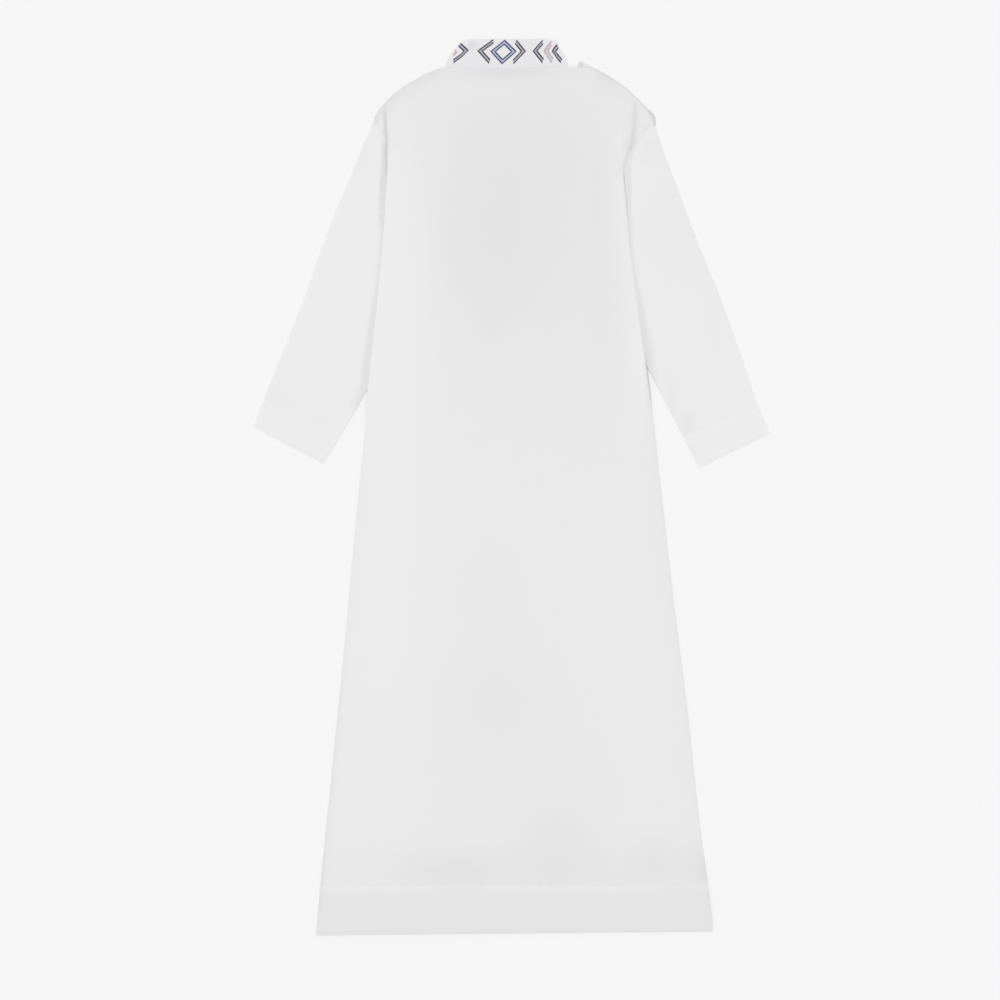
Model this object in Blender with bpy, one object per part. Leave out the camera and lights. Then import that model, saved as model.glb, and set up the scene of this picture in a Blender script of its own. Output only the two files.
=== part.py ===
"""Long robe with a stand collar, laid flat on its front with the back side up.

Every cut piece is one closed solid. Lengths are metres, +Z is up, +Y runs from
the hem to the collar and the rest face is the front's underside at z = 0.
"""
import math
from collections import namedtuple

import bpy
from mathutils import Vector

# cloth walls and the spaces between layers
WALL = 0.0010
CUFF_WALL = 0.0013
COLLAR_WALL = 0.0015
LAYER_GAP = 0.0003
SEAM_GAP = 0.0005
EDGE_ROUND = 0.00035
COLLAR_LAYER_GAP = 0.0004

# hem
HEM_LEFT_Y = -0.7362
HEM_RIGHT_Y = -0.7296
HEM_STITCH_Y = -0.6520
HEM_ALLOWANCE = 0.0040
HEM_RISE_LENGTH = 0.0380

# front opening
PLACKET_X = -0.0080
PLACKET_WIDTH = 0.0360
PLACKET_TIP_Y = 0.2500
PLACKET_POINT = 0.0180
PLACKET_SIDE_GAP = 0.0004

# collar
COLLAR_BASE_Y = 0.6900
COLLAR_SIDE_TOP_Y = 0.7310
COLLAR_FRONT_HEIGHT = 0.0460
COLLAR_SIDE_HEIGHT = 0.0410
COLLAR_OPENING_X = -0.0085
COLLAR_OPENING_GAP = 0.0006
COLLAR_SEAM_GAP = 0.0009
NECK_LIFT = 0.0006
NECK_LIFT_Y = 0.6150
NECK_LIFT_LENGTH = 0.0200

# soft fullness of the laid cloth
BODY_PUFF = 0.0018
HEM_PUFF_SHARE = 0.35
HEM_PUFF_LENGTH = 0.1800
SLEEVE_PUFF = 0.0018
PUFF_START = 0.15
PUFF_END = 0.45
PUFF_FALL = 0.35
EDGE_FADE = 0.0300
SLEEVE_RISE = 0.0360
TUCK_MARGIN = 0.0120
TUCK_SLOPE = 0.0280
SIDE_MARGIN = 0.0120

Knot = namedtuple("Knot", "at value")
Station = namedtuple("Station", "w x y")
Crease = namedtuple("Crease", "x0 y0 x1 y1 width height")

# side edges of the body, x of the edge at each height y
LEFT_EDGE = (
    Knot(-0.7356, -0.3214),
    Knot(-0.6610, -0.3148),
    Knot(-0.4638, -0.2952),
    Knot(-0.2668, -0.2755),
    Knot(-0.0698, -0.2574),
    Knot(0.0944, -0.2418),
    Knot(0.1634, -0.2388),
    Knot(0.2438, -0.2315),
    Knot(0.3276, -0.2229),
    Knot(0.4130, -0.2139),
    Knot(0.4885, -0.2081),
    Knot(0.5670, -0.2060),
    Knot(0.5800, -0.2130),
    Knot(0.5940, -0.2204),
    Knot(0.6070, -0.2250),
)
RIGHT_EDGE = (
    Knot(-0.7290, 0.3308),
    Knot(-0.6690, 0.3245),
    Knot(-0.5620, 0.3098),
    Knot(-0.3650, 0.2883),
    Knot(-0.1683, 0.2638),
    Knot(0.0123, 0.2434),
    Knot(0.1256, 0.2319),
    Knot(0.1979, 0.2245),
    Knot(0.3325, 0.2060),
    Knot(0.3900, 0.1975),
    Knot(0.4720, 0.1892),
    Knot(0.5200, 0.1845),
    Knot(0.5380, 0.1890),
    Knot(0.5610, 0.2010),
    Knot(0.5770, 0.2120),
    Knot(0.5890, 0.2220),
    Knot(0.5975, 0.2305),
)
FRONT_RIGHT_EDGE = RIGHT_EDGE[:-2] + (
    Knot(0.5850, 0.2215),
    Knot(0.5898, 0.2366),
    Knot(0.6090, 0.2355),
)

# shoulders and neckline, y of the top edge at each x
LEFT_SHOULDER = (
    Knot(-0.2250, 0.6070),
    Knot(-0.2230, 0.6130),
    Knot(-0.2165, 0.6230),
    Knot(-0.1985, 0.6430),
    Knot(-0.1720, 0.6630),
    Knot(-0.1360, 0.6815),
    Knot(-0.1160, 0.6888),
)
BACK_TOP = LEFT_SHOULDER + (
    Knot(-0.1080, 0.6893),
    Knot(-0.0100, 0.6880),
    Knot(0.0900, 0.6913),
    Knot(0.0980, 0.6908),
    Knot(0.1060, 0.6897),
    Knot(0.1180, 0.6894),
    Knot(0.1290, 0.6888),
    Knot(0.1480, 0.6808),
    Knot(0.1780, 0.6620),
    Knot(0.2010, 0.6422),
    Knot(0.2180, 0.6245),
    Knot(0.2245, 0.6150),
    Knot(0.2290, 0.6050),
    Knot(0.2305, 0.5975),
)
FRONT_TOP = LEFT_SHOULDER + (
    Knot(-0.1110, 0.6880),
    Knot(-0.1045, 0.6790),
    Knot(-0.0900, 0.6660),
    Knot(-0.0550, 0.6505),
    Knot(-0.0100, 0.6450),
    Knot(0.0350, 0.6505),
    Knot(0.0700, 0.6660),
    Knot(0.0870, 0.6800),
    Knot(0.0950, 0.6860),
    Knot(0.1055, 0.6880),
    Knot(0.1095, 0.6990),
    Knot(0.1170, 0.6984),
    Knot(0.1280, 0.6927),
    Knot(0.1480, 0.6828),
    Knot(0.1780, 0.6638),
    Knot(0.2010, 0.6440),
    Knot(0.2220, 0.6240),
    Knot(0.2325, 0.6138),
    Knot(0.2355, 0.6090),
)

# folded side edges of the collar, x at each height, and its upper edge
COLLAR_LEFT = (
    Knot(0.6900, -0.1100),
    Knot(0.6970, -0.1080),
    Knot(0.7070, -0.1030),
    Knot(0.7167, -0.0965),
    Knot(0.7310, -0.0845),
)
COLLAR_RIGHT = (
    Knot(0.6900, 0.0928),
    Knot(0.7020, 0.0891),
    Knot(0.7118, 0.0842),
    Knot(0.7217, 0.0792),
    Knot(0.7310, 0.0745),
)
COLLAR_TOP = (
    Knot(-0.0845, 0.7310),
    Knot(-0.0770, 0.7335),
    Knot(-0.0650, 0.7362),
    Knot(0.0610, 0.7362),
    Knot(0.0695, 0.7342),
    Knot(0.0745, 0.7310),
)

# sleeve corners at the cuff seam and at the open end, and the inner ends
CUFF_SEAM_LEFT = (Vector((-0.4060, 0.1470)), Vector((-0.2802, 0.0854)))
CUFF_END_LEFT = (Vector((-0.4240, 0.1002)), Vector((-0.3091, 0.0386)))
CUFF_SEAM_RIGHT = (Vector((0.4032, 0.1355)), Vector((0.2812, 0.0829)))
CUFF_END_RIGHT = (Vector((0.4240, 0.0887)), Vector((0.3075, 0.0320)))

# slight outward bow of the sleeve's folded edge, from cuff seam (0) to shoulder (1)
BOW_LEFT = (
    Knot(0.00, 0.0),
    Knot(0.42, 0.0002),
    Knot(0.56, 0.0033),
    Knot(0.67, 0.0030),
    Knot(0.80, 0.0008),
    Knot(1.00, 0.0),
)
BOW_RIGHT = (
    Knot(0.00, 0.0),
    Knot(0.16, 0.0029),
    Knot(0.37, 0.0042),
    Knot(0.48, 0.0020),
    Knot(0.60, 0.0),
    Knot(0.90, -0.0014),
    Knot(1.00, 0.0),
)

# armhole end of each sleeve, w runs from the shoulder fold to the underarm
ARMHOLE_LEFT = (
    Station(0.00, -0.2257, 0.6062),
    Station(0.10, -0.2212, 0.5938),
    Station(0.18, -0.2138, 0.5798),
    Station(0.25, -0.2069, 0.5670),
    Station(0.33, -0.2073, 0.5480),
    Station(0.40, -0.2078, 0.5300),
    Station(0.52, -0.1900, 0.4900),
    Station(0.68, -0.1650, 0.4300),
    Station(0.84, -0.1500, 0.3750),
    Station(1.00, -0.1400, 0.3280),
)
ARMHOLE_RIGHT = (
    Station(0.00, 0.2372, 0.5886),
    Station(0.07, 0.2235, 0.5838),
    Station(0.13, 0.2138, 0.5750),
    Station(0.20, 0.2025, 0.5600),
    Station(0.28, 0.1905, 0.5370),
    Station(0.35, 0.1856, 0.5200),
    Station(0.42, 0.1874, 0.5000),
    Station(0.48, 0.1892, 0.4830),
    Station(0.58, 0.1780, 0.4450),
    Station(0.72, 0.1630, 0.4050),
    Station(0.86, 0.1550, 0.3650),
    Station(1.00, 0.1500, 0.3350),
)
TUCK_TOP_LEFT = 0.5300
TUCK_TOP_RIGHT = 0.4830
SEAM_END_LEFT = 0.5670
SEAM_END_RIGHT = 0.5200
SLEEVE_EXIT_LEFT = 0.1480
SLEEVE_EXIT_RIGHT = 0.1860

# largest soft folds of the back, height above (or below) the laid cloth
BACK_CREASES = (
    Crease(-0.160, 0.495, -0.157, 0.140, 0.010, -0.0014),
    Crease(-0.139, 0.495, -0.132, 0.135, 0.010, 0.0012),
    Crease(0.1840, 0.645, 0.1740, 0.545, 0.008, 0.0022),
    Crease(0.2130, 0.622, 0.2080, 0.590, 0.008, 0.0010),
    Crease(-0.1960, 0.640, -0.1950, 0.510, 0.008, 0.0022),
    Crease(0.148, 0.510, 0.152, 0.436, 0.010, -0.0012),
    Crease(-0.110, 0.678, 0.104, 0.677, 0.007, -0.0014),
    Crease(-0.120, 0.655, 0.110, 0.653, 0.012, 0.0007),
    Crease(-0.087, -0.600, -0.084, -0.640, 0.020, -0.0012),
    Crease(0.071, -0.570, 0.073, -0.640, 0.018, -0.0014),
    Crease(0.237, -0.580, 0.241, -0.636, 0.018, -0.0012),
    Crease(0.176, -0.500, 0.182, -0.580, 0.022, 0.0010),
    Crease(-0.019, -0.100, -0.142, -0.406, 0.035, -0.0010),
    Crease(-0.019, -0.100, 0.104, -0.406, 0.035, -0.0010),
)

# grid lines of the panels, sleeves and collar
LEFT_COLUMNS = (0.0, 0.03, 0.07, 0.11, 0.16, 0.23, 0.32, 0.42, 0.50, 0.568, 0.60, 0.68, 0.78, 0.89)
RIGHT_COLUMNS = (0.12, 0.24, 0.33, 0.375, 0.415, 0.445, 0.50, 0.60, 0.70, 0.79, 0.86, 0.92, 0.965, 1.0)
HEM_ROWS = (0.0, 0.5, 1.0)
BACK_LOWER_ROWS = (
    0.012, 0.030, 0.050, 0.075, 0.115, 0.17, 0.23, 0.30, 0.37, 0.44,
    0.51, 0.58, 0.65, 0.72, 0.78, 0.83, 0.86, 0.885, 0.91, 0.935, 0.965, 1.0,
)
BACK_UPPER_ROWS = (
    0.07, 0.14, 0.21, 0.28, 0.35, 0.42, 0.49, 0.55, 0.60, 0.652, 0.71, 0.765,
    0.82, 0.882, 0.925, 0.955, 0.98, 1.0,
)
FRONT_LOWER_ROWS = (0.012, 0.05, 0.14, 0.26, 0.38, 0.50, 0.62, 0.74, 0.86, 0.95, 1.0)
FRONT_UPPER_ROWS = (0.12, 0.25, 0.38, 0.50, 0.58, 0.632, 0.69, 0.741, 0.81, 0.882, 0.93, 0.9445, 1.0)
PLACKET_ROWS = (0.0, 0.25, 0.5, 0.75, 1.0)
FOLD_STEPS = 4
FOOTPRINT_STEPS = 6
HALVINGS = 40
SLEEVE_ALONG = (
    0.0, 0.03, 0.09, 0.17, 0.26, 0.35, 0.44, 0.52, 0.60, 0.67, 0.74, 0.80,
    0.86, 0.91, 0.95, 0.98, 1.0,
)
RIM_STATION = 0.02
CUFF_ACROSS = (0.02, 0.10, 0.25, 0.42, 0.58, 0.75, 0.90, 0.98)
CUFF_ALONG = (0.0, 0.5, 1.0)
COLLAR_ALONG = (0.0, 0.25, 0.5, 0.75, 1.0)

# height levels of the layers, mid-plane of each wall
FRONT_MID = WALL / 2.0
LAYER_STEP = WALL + LAYER_GAP
BACK_MID = FRONT_MID + LAYER_STEP
TUCK_LIFT = 2.0 * LAYER_STEP
COLLAR_FRONT_MID = COLLAR_WALL / 2.0
COLLAR_BACK_MID = COLLAR_FRONT_MID + COLLAR_WALL + COLLAR_LAYER_GAP
UP = Vector((0.0, 0.0, 1.0))

# finishes
WHITE_CLOTH = (0.860, 0.862, 0.880, 1.0)
COLLAR_CLOTH = (0.800, 0.800, 0.840, 1.0)
CLOTH_ROUGHNESS = 0.85


def smooth(knots, at):
    """Value at a place on a smooth curve through the knots, without overshoot."""
    if at <= knots[0].at:
        return knots[0].value
    if at >= knots[-1].at:
        return knots[-1].value
    k = 0
    while at > knots[k + 1].at:
        k += 1
    slopes = []
    for n in (k - 1, k, k + 1):
        if 0 <= n < len(knots) - 1:
            run = knots[n + 1].at - knots[n].at
            slopes.append((knots[n + 1].value - knots[n].value) / run)
        else:
            slopes.append(None)
    here = slopes[1]
    start = blend_slope(slopes[0], here)
    end = blend_slope(here, slopes[2])
    run = knots[k + 1].at - knots[k].at
    t = (at - knots[k].at) / run
    low = (2 * t ** 3 - 3 * t ** 2 + 1) * knots[k].value + (t ** 3 - 2 * t ** 2 + t) * run * start
    high = (3 * t ** 2 - 2 * t ** 3) * knots[k + 1].value + (t ** 3 - t ** 2) * run * end
    return low + high


def blend_slope(one, two):
    """Slope at a knot from the slopes of the spans on either side of it."""
    if one is None:
        return two
    if two is None:
        return one
    if one * two <= 0.0:
        return 0.0
    return 2.0 * one * two / (one + two)


def ease(t):
    """Soft step from 0 to 1."""
    t = min(1.0, max(0.0, t))
    return t * t * (3.0 - 2.0 * t)


def mix(a, b, t):
    """Value or vector a fraction t of the way from a to b."""
    return a + (b - a) * t


def segment_distance(x, y, crease):
    """Distance from a point to the line of a crease."""
    dx = crease[2] - crease[0]
    dy = crease[3] - crease[1]
    t = ((x - crease[0]) * dx + (y - crease[1]) * dy) / (dx * dx + dy * dy)
    t = min(1.0, max(0.0, t))
    return math.hypot(x - crease[0] - t * dx, y - crease[1] - t * dy)


def polygon_distance(x, y, corners):
    """Distance from a point to a filled polygon, 0 inside it."""
    inside = False
    nearest = math.inf
    for n, (x1, y1) in enumerate(corners):
        x0, y0 = corners[n - 1]
        nearest = min(nearest, segment_distance(x, y, (x0, y0, x1, y1)))
        if (y0 > y) != (y1 > y) and x < x0 + (x1 - x0) * (y - y0) / (y1 - y0):
            inside = not inside
    return 0.0 if inside else nearest


def station_point(stations, w):
    """Plan point of an armhole end at the cross position w."""
    x = smooth([Knot(s.w, s.x) for s in stations], w)
    y = smooth([Knot(s.w, s.y) for s in stations], w)
    return Vector((x, y))


class Side:
    """One side of the robe, with the sleeve's tuck under the body edge."""

    def __init__(self, edge, armhole, bow, seam, end, seam_end, tuck_top, exit_y):
        self.edge = edge
        self.bow = bow
        self.armhole = armhole
        self.seam = seam
        self.end = end
        self.seam_end = seam_end
        self.tuck_top = tuck_top
        self.outward = -1.0 if edge[0].value < 0.0 else 1.0
        rows = [mix(exit_y, tuck_top, n / FOOTPRINT_STEPS) for n in range(FOOTPRINT_STEPS + 1)]
        self.footprint = [(smooth(edge, y), y) for y in rows]
        self.footprint += [(s.x, s.y) for s in armhole if s.y < tuck_top]

    def beyond_edge(self, x, y):
        """Distance of a point outside the body edge, negative inside."""
        return (x - smooth(self.edge, y)) * self.outward

    def tuck(self, x, y):
        """1 over the tucked sleeve, falling to 0 around it."""
        away = polygon_distance(x, y, self.footprint)
        return 1.0 - ease((away - TUCK_MARGIN) / TUCK_SLOPE)

    def sleeve_lift(self, x, y):
        """1 where the sleeve lies over the front panel, 0 on the floor."""
        near = 1.0 - ease((self.beyond_edge(x, y) - SIDE_MARGIN) / (SLEEVE_RISE - SIDE_MARGIN))
        below = ease((self.seam_end - y) / (self.seam_end - self.tuck_top))
        return near * below

    def sleeve_point(self, u, w):
        """Plan point of the sleeve, u from cuff seam to armhole."""
        cuff = mix(self.seam[0], self.seam[1], w)
        along = (self.seam[0] - self.end[0]).normalized()
        bow = Vector((self.outward, 0.0)) * smooth(self.bow, u) * (1.0 - w) ** 2
        return mix(cuff + along * SEAM_GAP, station_point(self.armhole, w), u) + bow


LEFT = Side(LEFT_EDGE, ARMHOLE_LEFT, BOW_LEFT, CUFF_SEAM_LEFT, CUFF_END_LEFT,
            SEAM_END_LEFT, TUCK_TOP_LEFT, SLEEVE_EXIT_LEFT)
RIGHT = Side(RIGHT_EDGE, ARMHOLE_RIGHT, BOW_RIGHT, CUFF_SEAM_RIGHT, CUFF_END_RIGHT,
             SEAM_END_RIGHT, TUCK_TOP_RIGHT, SLEEVE_EXIT_RIGHT)


def hem_y(x):
    """Height of the hem edge at x."""
    t = (x - LEFT_EDGE[0].value) / (RIGHT_EDGE[0].value - LEFT_EDGE[0].value)
    return mix(HEM_LEFT_Y, HEM_RIGHT_Y, t)


def back_height(x, y):
    """Mid-plane height of the back panel."""
    height = BACK_MID + TUCK_LIFT * (1.0 - ease((y - HEM_STITCH_Y - HEM_ALLOWANCE) / HEM_RISE_LENGTH))
    tuck = max(LEFT.tuck(x, y), RIGHT.tuck(x, y))
    height += TUCK_LIFT * tuck
    height += NECK_LIFT * ease((y - NECK_LIFT_Y) / NECK_LIFT_LENGTH)
    side = min(-LEFT.beyond_edge(x, y), -RIGHT.beyond_edge(x, y))
    fade = ease(side / EDGE_FADE) * ease((smooth(BACK_TOP, x) - y) / EDGE_FADE)
    loose = mix(HEM_PUFF_SHARE, 1.0, ease((y - HEM_LEFT_Y) / HEM_PUFF_LENGTH)) * (1.0 - tuck)
    relief = BODY_PUFF * fade * loose
    for crease in BACK_CREASES:
        away = segment_distance(x, y, crease) / crease.width
        relief += crease.height * math.exp(-away * away) * ease(side / crease.width)
    return height + max(0.0, relief)


def front_height(_x, _y):
    """Mid-plane height of the front panel, flat on the rest face."""
    return FRONT_MID


def make_finish(name, colour, roughness):
    """Plain cloth material."""
    material = bpy.data.materials.new(name)
    material.use_nodes = True
    shader = material.node_tree.nodes["Principled BSDF"]
    shader.inputs["Base Color"].default_value = colour
    shader.inputs["Roughness"].default_value = roughness
    shader.inputs["Metallic"].default_value = 0.0
    material.diffuse_color = colour
    return material


def make_solid(name, middle, normals, quads, wall, colour):
    """Closed solid of a cloth sheet: both faces, and a rounded rim all round."""
    sides = set()
    for quad in quads:
        for n, start in enumerate(quad):
            sides.add((start, quad[(n + 1) % len(quad)]))
    rim = [pair for pair in sorted(sides) if (pair[1], pair[0]) not in sides]
    outward = {}
    for a, b in rim:
        run = (middle[b] - middle[a]).normalized()
        for end in (a, b):
            outward[end] = outward.get(end, Vector()) + run.cross(normals[end])
    points = []
    upper = {}
    lower = {}
    edge = {}
    for n in sorted({corner for quad in quads for corner in quad}):
        inset = outward[n].normalized() * EDGE_ROUND if n in outward else Vector()
        upper[n] = len(points)
        points.append(middle[n] + normals[n] * (wall / 2.0) - inset)
        lower[n] = len(points)
        points.append(middle[n] - normals[n] * (wall / 2.0) - inset)
        if n in outward:
            edge[n] = len(points)
            points.append(middle[n])
    faces = []
    for quad in quads:
        faces.append(tuple(upper[n] for n in quad))
        faces.append(tuple(lower[n] for n in reversed(quad)))
    for a, b in rim:
        faces.append((upper[b], upper[a], edge[a], edge[b]))
        faces.append((edge[b], edge[a], lower[a], lower[b]))
    mesh = bpy.data.meshes.new(name)
    mesh.from_pydata([tuple(p) for p in points], [], faces)
    mesh.validate()
    mesh.materials.append(make_finish(name + "_cloth", colour, CLOTH_ROUGHNESS))
    piece = bpy.data.objects.new(name, mesh)
    bpy.context.scene.collection.objects.link(piece)
    return piece


def grid_quads(rows, columns, keep=None, closed=False):
    """Quads of a grid of points, counted row by row."""
    quads = []
    for i in range(rows - 1):
        for j in range(columns if closed else columns - 1):
            k = (j + 1) % columns
            if keep is None or keep(i, j):
                quads.append((i * columns + j, i * columns + k,
                              (i + 1) * columns + k, (i + 1) * columns + j))
    return quads


class Panel:
    """Front or back panel: a sheet from the turned hem up to the shoulders."""

    def __init__(self, right_edge, top, height, lower_rows, upper_rows, turn):
        self.right_edge = right_edge
        self.top = top
        self.height = height
        self.lower_rows = lower_rows
        self.upper_rows = upper_rows
        self.turn = turn
        self.slot = (PLACKET_X - PLACKET_WIDTH / 2.0, PLACKET_X + PLACKET_WIDTH / 2.0)
        self.columns = len(LEFT_COLUMNS) + 3 + len(RIGHT_COLUMNS)
        self.slot_column = len(LEFT_COLUMNS)

    def column_x(self, j, y):
        """x of grid column j at height y."""
        if j < self.slot_column:
            return mix(smooth(LEFT_EDGE, y), self.slot[0], LEFT_COLUMNS[j])
        if j < self.slot_column + 3:
            return mix(self.slot[0], self.slot[1], (j - self.slot_column) / 2.0)
        return mix(self.slot[1], smooth(self.right_edge, y), RIGHT_COLUMNS[j - self.slot_column - 3])

    def top_y(self, j):
        """Height where grid column j meets the top edge."""
        low = PLACKET_TIP_Y
        high = COLLAR_SIDE_TOP_Y
        for _ in range(HALVINGS):
            middle = (low + high) / 2.0
            if middle < smooth(self.top, self.column_x(j, middle)):
                low = middle
            else:
                high = middle
        return (low + high) / 2.0

    def break_y(self, j):
        """Height of the grid line that ends in the placket's point."""
        level = PLACKET_TIP_Y + PLACKET_POINT
        return PLACKET_TIP_Y if j == self.slot_column + 1 else level

    def point_at(self, j, y, turned=0.0):
        """Point of column j at height y, on the panel or its turn-up."""
        x = self.column_x(j, y)
        return Vector((x, y, self.height(x, y) + turned))

    def build(self, name, slotted):
        """Make the solid of the panel."""
        middle = []
        normals = []
        inner = self.turn * LAYER_STEP
        radius = LAYER_STEP / 2.0
        setback = radius + WALL / 2.0
        for f in (1.0, 0.5, 0.0):
            for j in range(self.columns):
                edge_y = hem_y(self.column_x(j, HEM_LEFT_Y)) + setback
                y = mix(edge_y, HEM_STITCH_Y + HEM_ALLOWANCE, f)
                middle.append(self.point_at(j, y, inner))
                normals.append(-UP)
        for n in range(1, FOLD_STEPS):
            angle = math.pi * n / FOLD_STEPS
            away = Vector((0.0, -math.sin(angle), self.turn * math.cos(angle)))
            for j in range(self.columns):
                edge_y = hem_y(self.column_x(j, HEM_LEFT_Y)) + setback
                centre = self.point_at(j, edge_y, inner / 2.0)
                middle.append(centre + away * radius)
                normals.append(away * -self.turn)
        for f in HEM_ROWS:
            for j in range(self.columns):
                edge_y = hem_y(self.column_x(j, HEM_LEFT_Y)) + setback
                middle.append(self.point_at(j, mix(edge_y, HEM_STITCH_Y, f)))
                normals.append(UP)
        for f in self.lower_rows:
            for j in range(self.columns):
                middle.append(self.point_at(j, mix(HEM_STITCH_Y, self.break_y(j), f)))
                normals.append(UP)
        slot_row = len(middle) // self.columns - 1
        for f in self.upper_rows:
            for j in range(self.columns):
                middle.append(self.point_at(j, mix(self.break_y(j), self.top_y(j), f)))
                normals.append(UP)
        rows = len(middle) // self.columns

        def keep(i, j):
            return not (slotted and i >= slot_row and 0 <= j - self.slot_column < 2)

        return make_solid(name, middle, normals, grid_quads(rows, self.columns, keep), WALL, WHITE_CLOTH)


def tube_ring(path, across, low, high, wall):
    """Ring of points of a flattened tube: over the top, round, and back below."""
    step = 0.5 * (wall + LAYER_GAP)
    inset = step + wall / 2.0
    middle = []
    normals = []
    first = path[0]
    last = path[-1]
    start = (path[0] - path[1]).normalized()
    finish = (path[-1] - path[-2]).normalized()
    layer = list(zip(path, across))[1:-1]
    for centre, out, sign, end in ((last, finish, 1.0, 1.0), (first, start, -1.0, 0.0)):
        for p, w in layer:
            z = high(p, w) if sign > 0.0 else low(p, w)
            middle.append(Vector((p.x, p.y, z)))
            normals.append(UP * sign)
        layer.reverse()
        spot = centre - out * inset
        z = 0.5 * (high(spot, end) + low(spot, end))
        for n in range(FOLD_STEPS + 1):
            angle = math.pi * (0.5 - n / FOLD_STEPS) * sign
            away = Vector((out.x * math.cos(angle), out.y * math.cos(angle), math.sin(angle)))
            half = 0.5 * (high(spot, end) - low(spot, end))
            place = Vector((out.x * math.cos(angle) * step, out.y * math.cos(angle) * step,
                            math.sin(angle) * half))
            middle.append(Vector((spot.x, spot.y, z)) + place)
            normals.append(away)
    return middle, normals


def build_tube(name, rings, wall, colour):
    """Solid wall of a flattened tube from its rings."""
    middle = []
    normals = []
    for ring_points, ring_normals in rings:
        middle += ring_points
        normals += ring_normals
    count = len(rings[0][0])
    quads = grid_quads(len(rings), count, closed=True)
    a, b, c, _d = quads[0]
    facing = (middle[b] - middle[a]).cross(middle[c] - middle[b])
    if facing.dot(normals[a]) < 0.0:
        quads = [tuple(reversed(quad)) for quad in quads]
    return make_solid(name, middle, normals, quads, wall, colour)


def build_sleeve(name, side):
    """Sleeve from the cuff seam to its hidden end between the body panels."""
    rings = []
    inner = [station.w for station in side.armhole[1:-1]]
    across = [0.0, RIM_STATION] + inner + [1.0 - RIM_STATION, 1.0]
    for u in SLEEVE_ALONG:
        path = [side.sleeve_point(u, w) for w in across]
        fade = ease(u / PUFF_START) * (1.0 - ease((u - PUFF_END) / PUFF_FALL))

        def low(p, _w):
            return FRONT_MID + LAYER_STEP * side.sleeve_lift(p.x, p.y)

        def high(p, w, fade=fade):
            puff = SLEEVE_PUFF * fade * ease(4.0 * w * (1.0 - w)) * (1.0 - side.sleeve_lift(p.x, p.y))
            return low(p, w) + LAYER_STEP + puff

        rings.append(tube_ring(path, across, low, high, WALL))
    return build_tube(name, rings, WALL, WHITE_CLOTH)


def build_cuff(name, side):
    """Cuff band from the sleeve seam to the open end."""
    rings = []
    across = (0.0,) + CUFF_ACROSS + (1.0,)

    def low(_p, _w):
        return CUFF_WALL / 2.0

    def high(p, w):
        return low(p, w) + CUFF_WALL + LAYER_GAP

    for u in CUFF_ALONG:
        outer = mix(side.seam[0], side.end[0], u)
        inner = mix(side.seam[1], side.end[1], u)
        path = [mix(outer, inner, w) for w in across]
        rings.append(tube_ring(path, across, low, high, CUFF_WALL))
    return build_tube(name, rings, CUFF_WALL, WHITE_CLOTH)


def collar_point(u, v, back):
    """Plan point of the collar, u across and v up, on its back or front half."""
    side_y = mix(COLLAR_BASE_Y, COLLAR_SIDE_TOP_Y, v)
    x = mix(smooth(COLLAR_LEFT, side_y), smooth(COLLAR_RIGHT, side_y), u)
    if back:
        base = smooth(BACK_TOP, x) + COLLAR_SEAM_GAP
        return x, mix(base, smooth(COLLAR_TOP, x), v)
    base_x = mix(COLLAR_LEFT[0].value, COLLAR_RIGHT[0].value, u)
    base = smooth(FRONT_TOP, base_x) + COLLAR_SEAM_GAP
    height = mix(COLLAR_SIDE_HEIGHT, COLLAR_FRONT_HEIGHT, ease(4.0 * u * (1.0 - u)))
    return x, base + height * v


def collar_across(panel):
    """Cross positions of the collar, in line with the columns of the front."""
    start = COLLAR_LEFT[0].value
    width = COLLAR_RIGHT[0].value - start
    places = [(panel.column_x(j, COLLAR_BASE_Y) - start) / width for j in range(panel.columns)]
    inner = [u for u in places if 2.0 * RIM_STATION < u < 1.0 - 2.0 * RIM_STATION]
    return [RIM_STATION] + inner + [1.0 - RIM_STATION]


def build_collar(name, across):
    """Stand collar band: open at centre front, folded at both sides."""
    half = (COLLAR_BACK_MID - COLLAR_FRONT_MID) / 2.0
    level = (COLLAR_BACK_MID + COLLAR_FRONT_MID) / 2.0
    inset = half + COLLAR_WALL / 2.0
    middle = []
    normals = []
    for v in COLLAR_ALONG:
        base_x = COLLAR_LEFT[0].value
        width = COLLAR_RIGHT[0].value - base_x
        split = (COLLAR_OPENING_X - base_x) / width
        gap = COLLAR_OPENING_GAP / 2.0 / width
        left_half = [split - gap] + [u for u in reversed(across) if u < split - 4.0 * gap]
        right_half = [u for u in reversed(across) if u > split + 4.0 * gap] + [split + gap]
        for u in left_half:
            middle.append(Vector((*collar_point(u, v, False), COLLAR_FRONT_MID)))
            normals.append(-UP)
        for n in range(FOLD_STEPS + 1):
            angle = math.pi * n / FOLD_STEPS
            away = Vector((-math.sin(angle), 0.0, -math.cos(angle)))
            x, y = collar_point(0.0, v, True)
            middle.append(Vector((x + inset, y, level)) + away * half)
            normals.append(away)
        for u in across:
            middle.append(Vector((*collar_point(u, v, True), COLLAR_BACK_MID)))
            normals.append(UP)
        for n in range(FOLD_STEPS + 1):
            angle = math.pi * n / FOLD_STEPS
            away = Vector((math.sin(angle), 0.0, math.cos(angle)))
            x, y = collar_point(1.0, v, True)
            middle.append(Vector((x - inset, y, level)) + away * half)
            normals.append(away)
        for u in right_half:
            middle.append(Vector((*collar_point(u, v, False), COLLAR_FRONT_MID)))
            normals.append(-UP)
    columns = len(middle) // len(COLLAR_ALONG)
    quads = grid_quads(len(COLLAR_ALONG), columns)
    return make_solid(name, middle, normals, quads, COLLAR_WALL, COLLAR_CLOTH)


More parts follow.
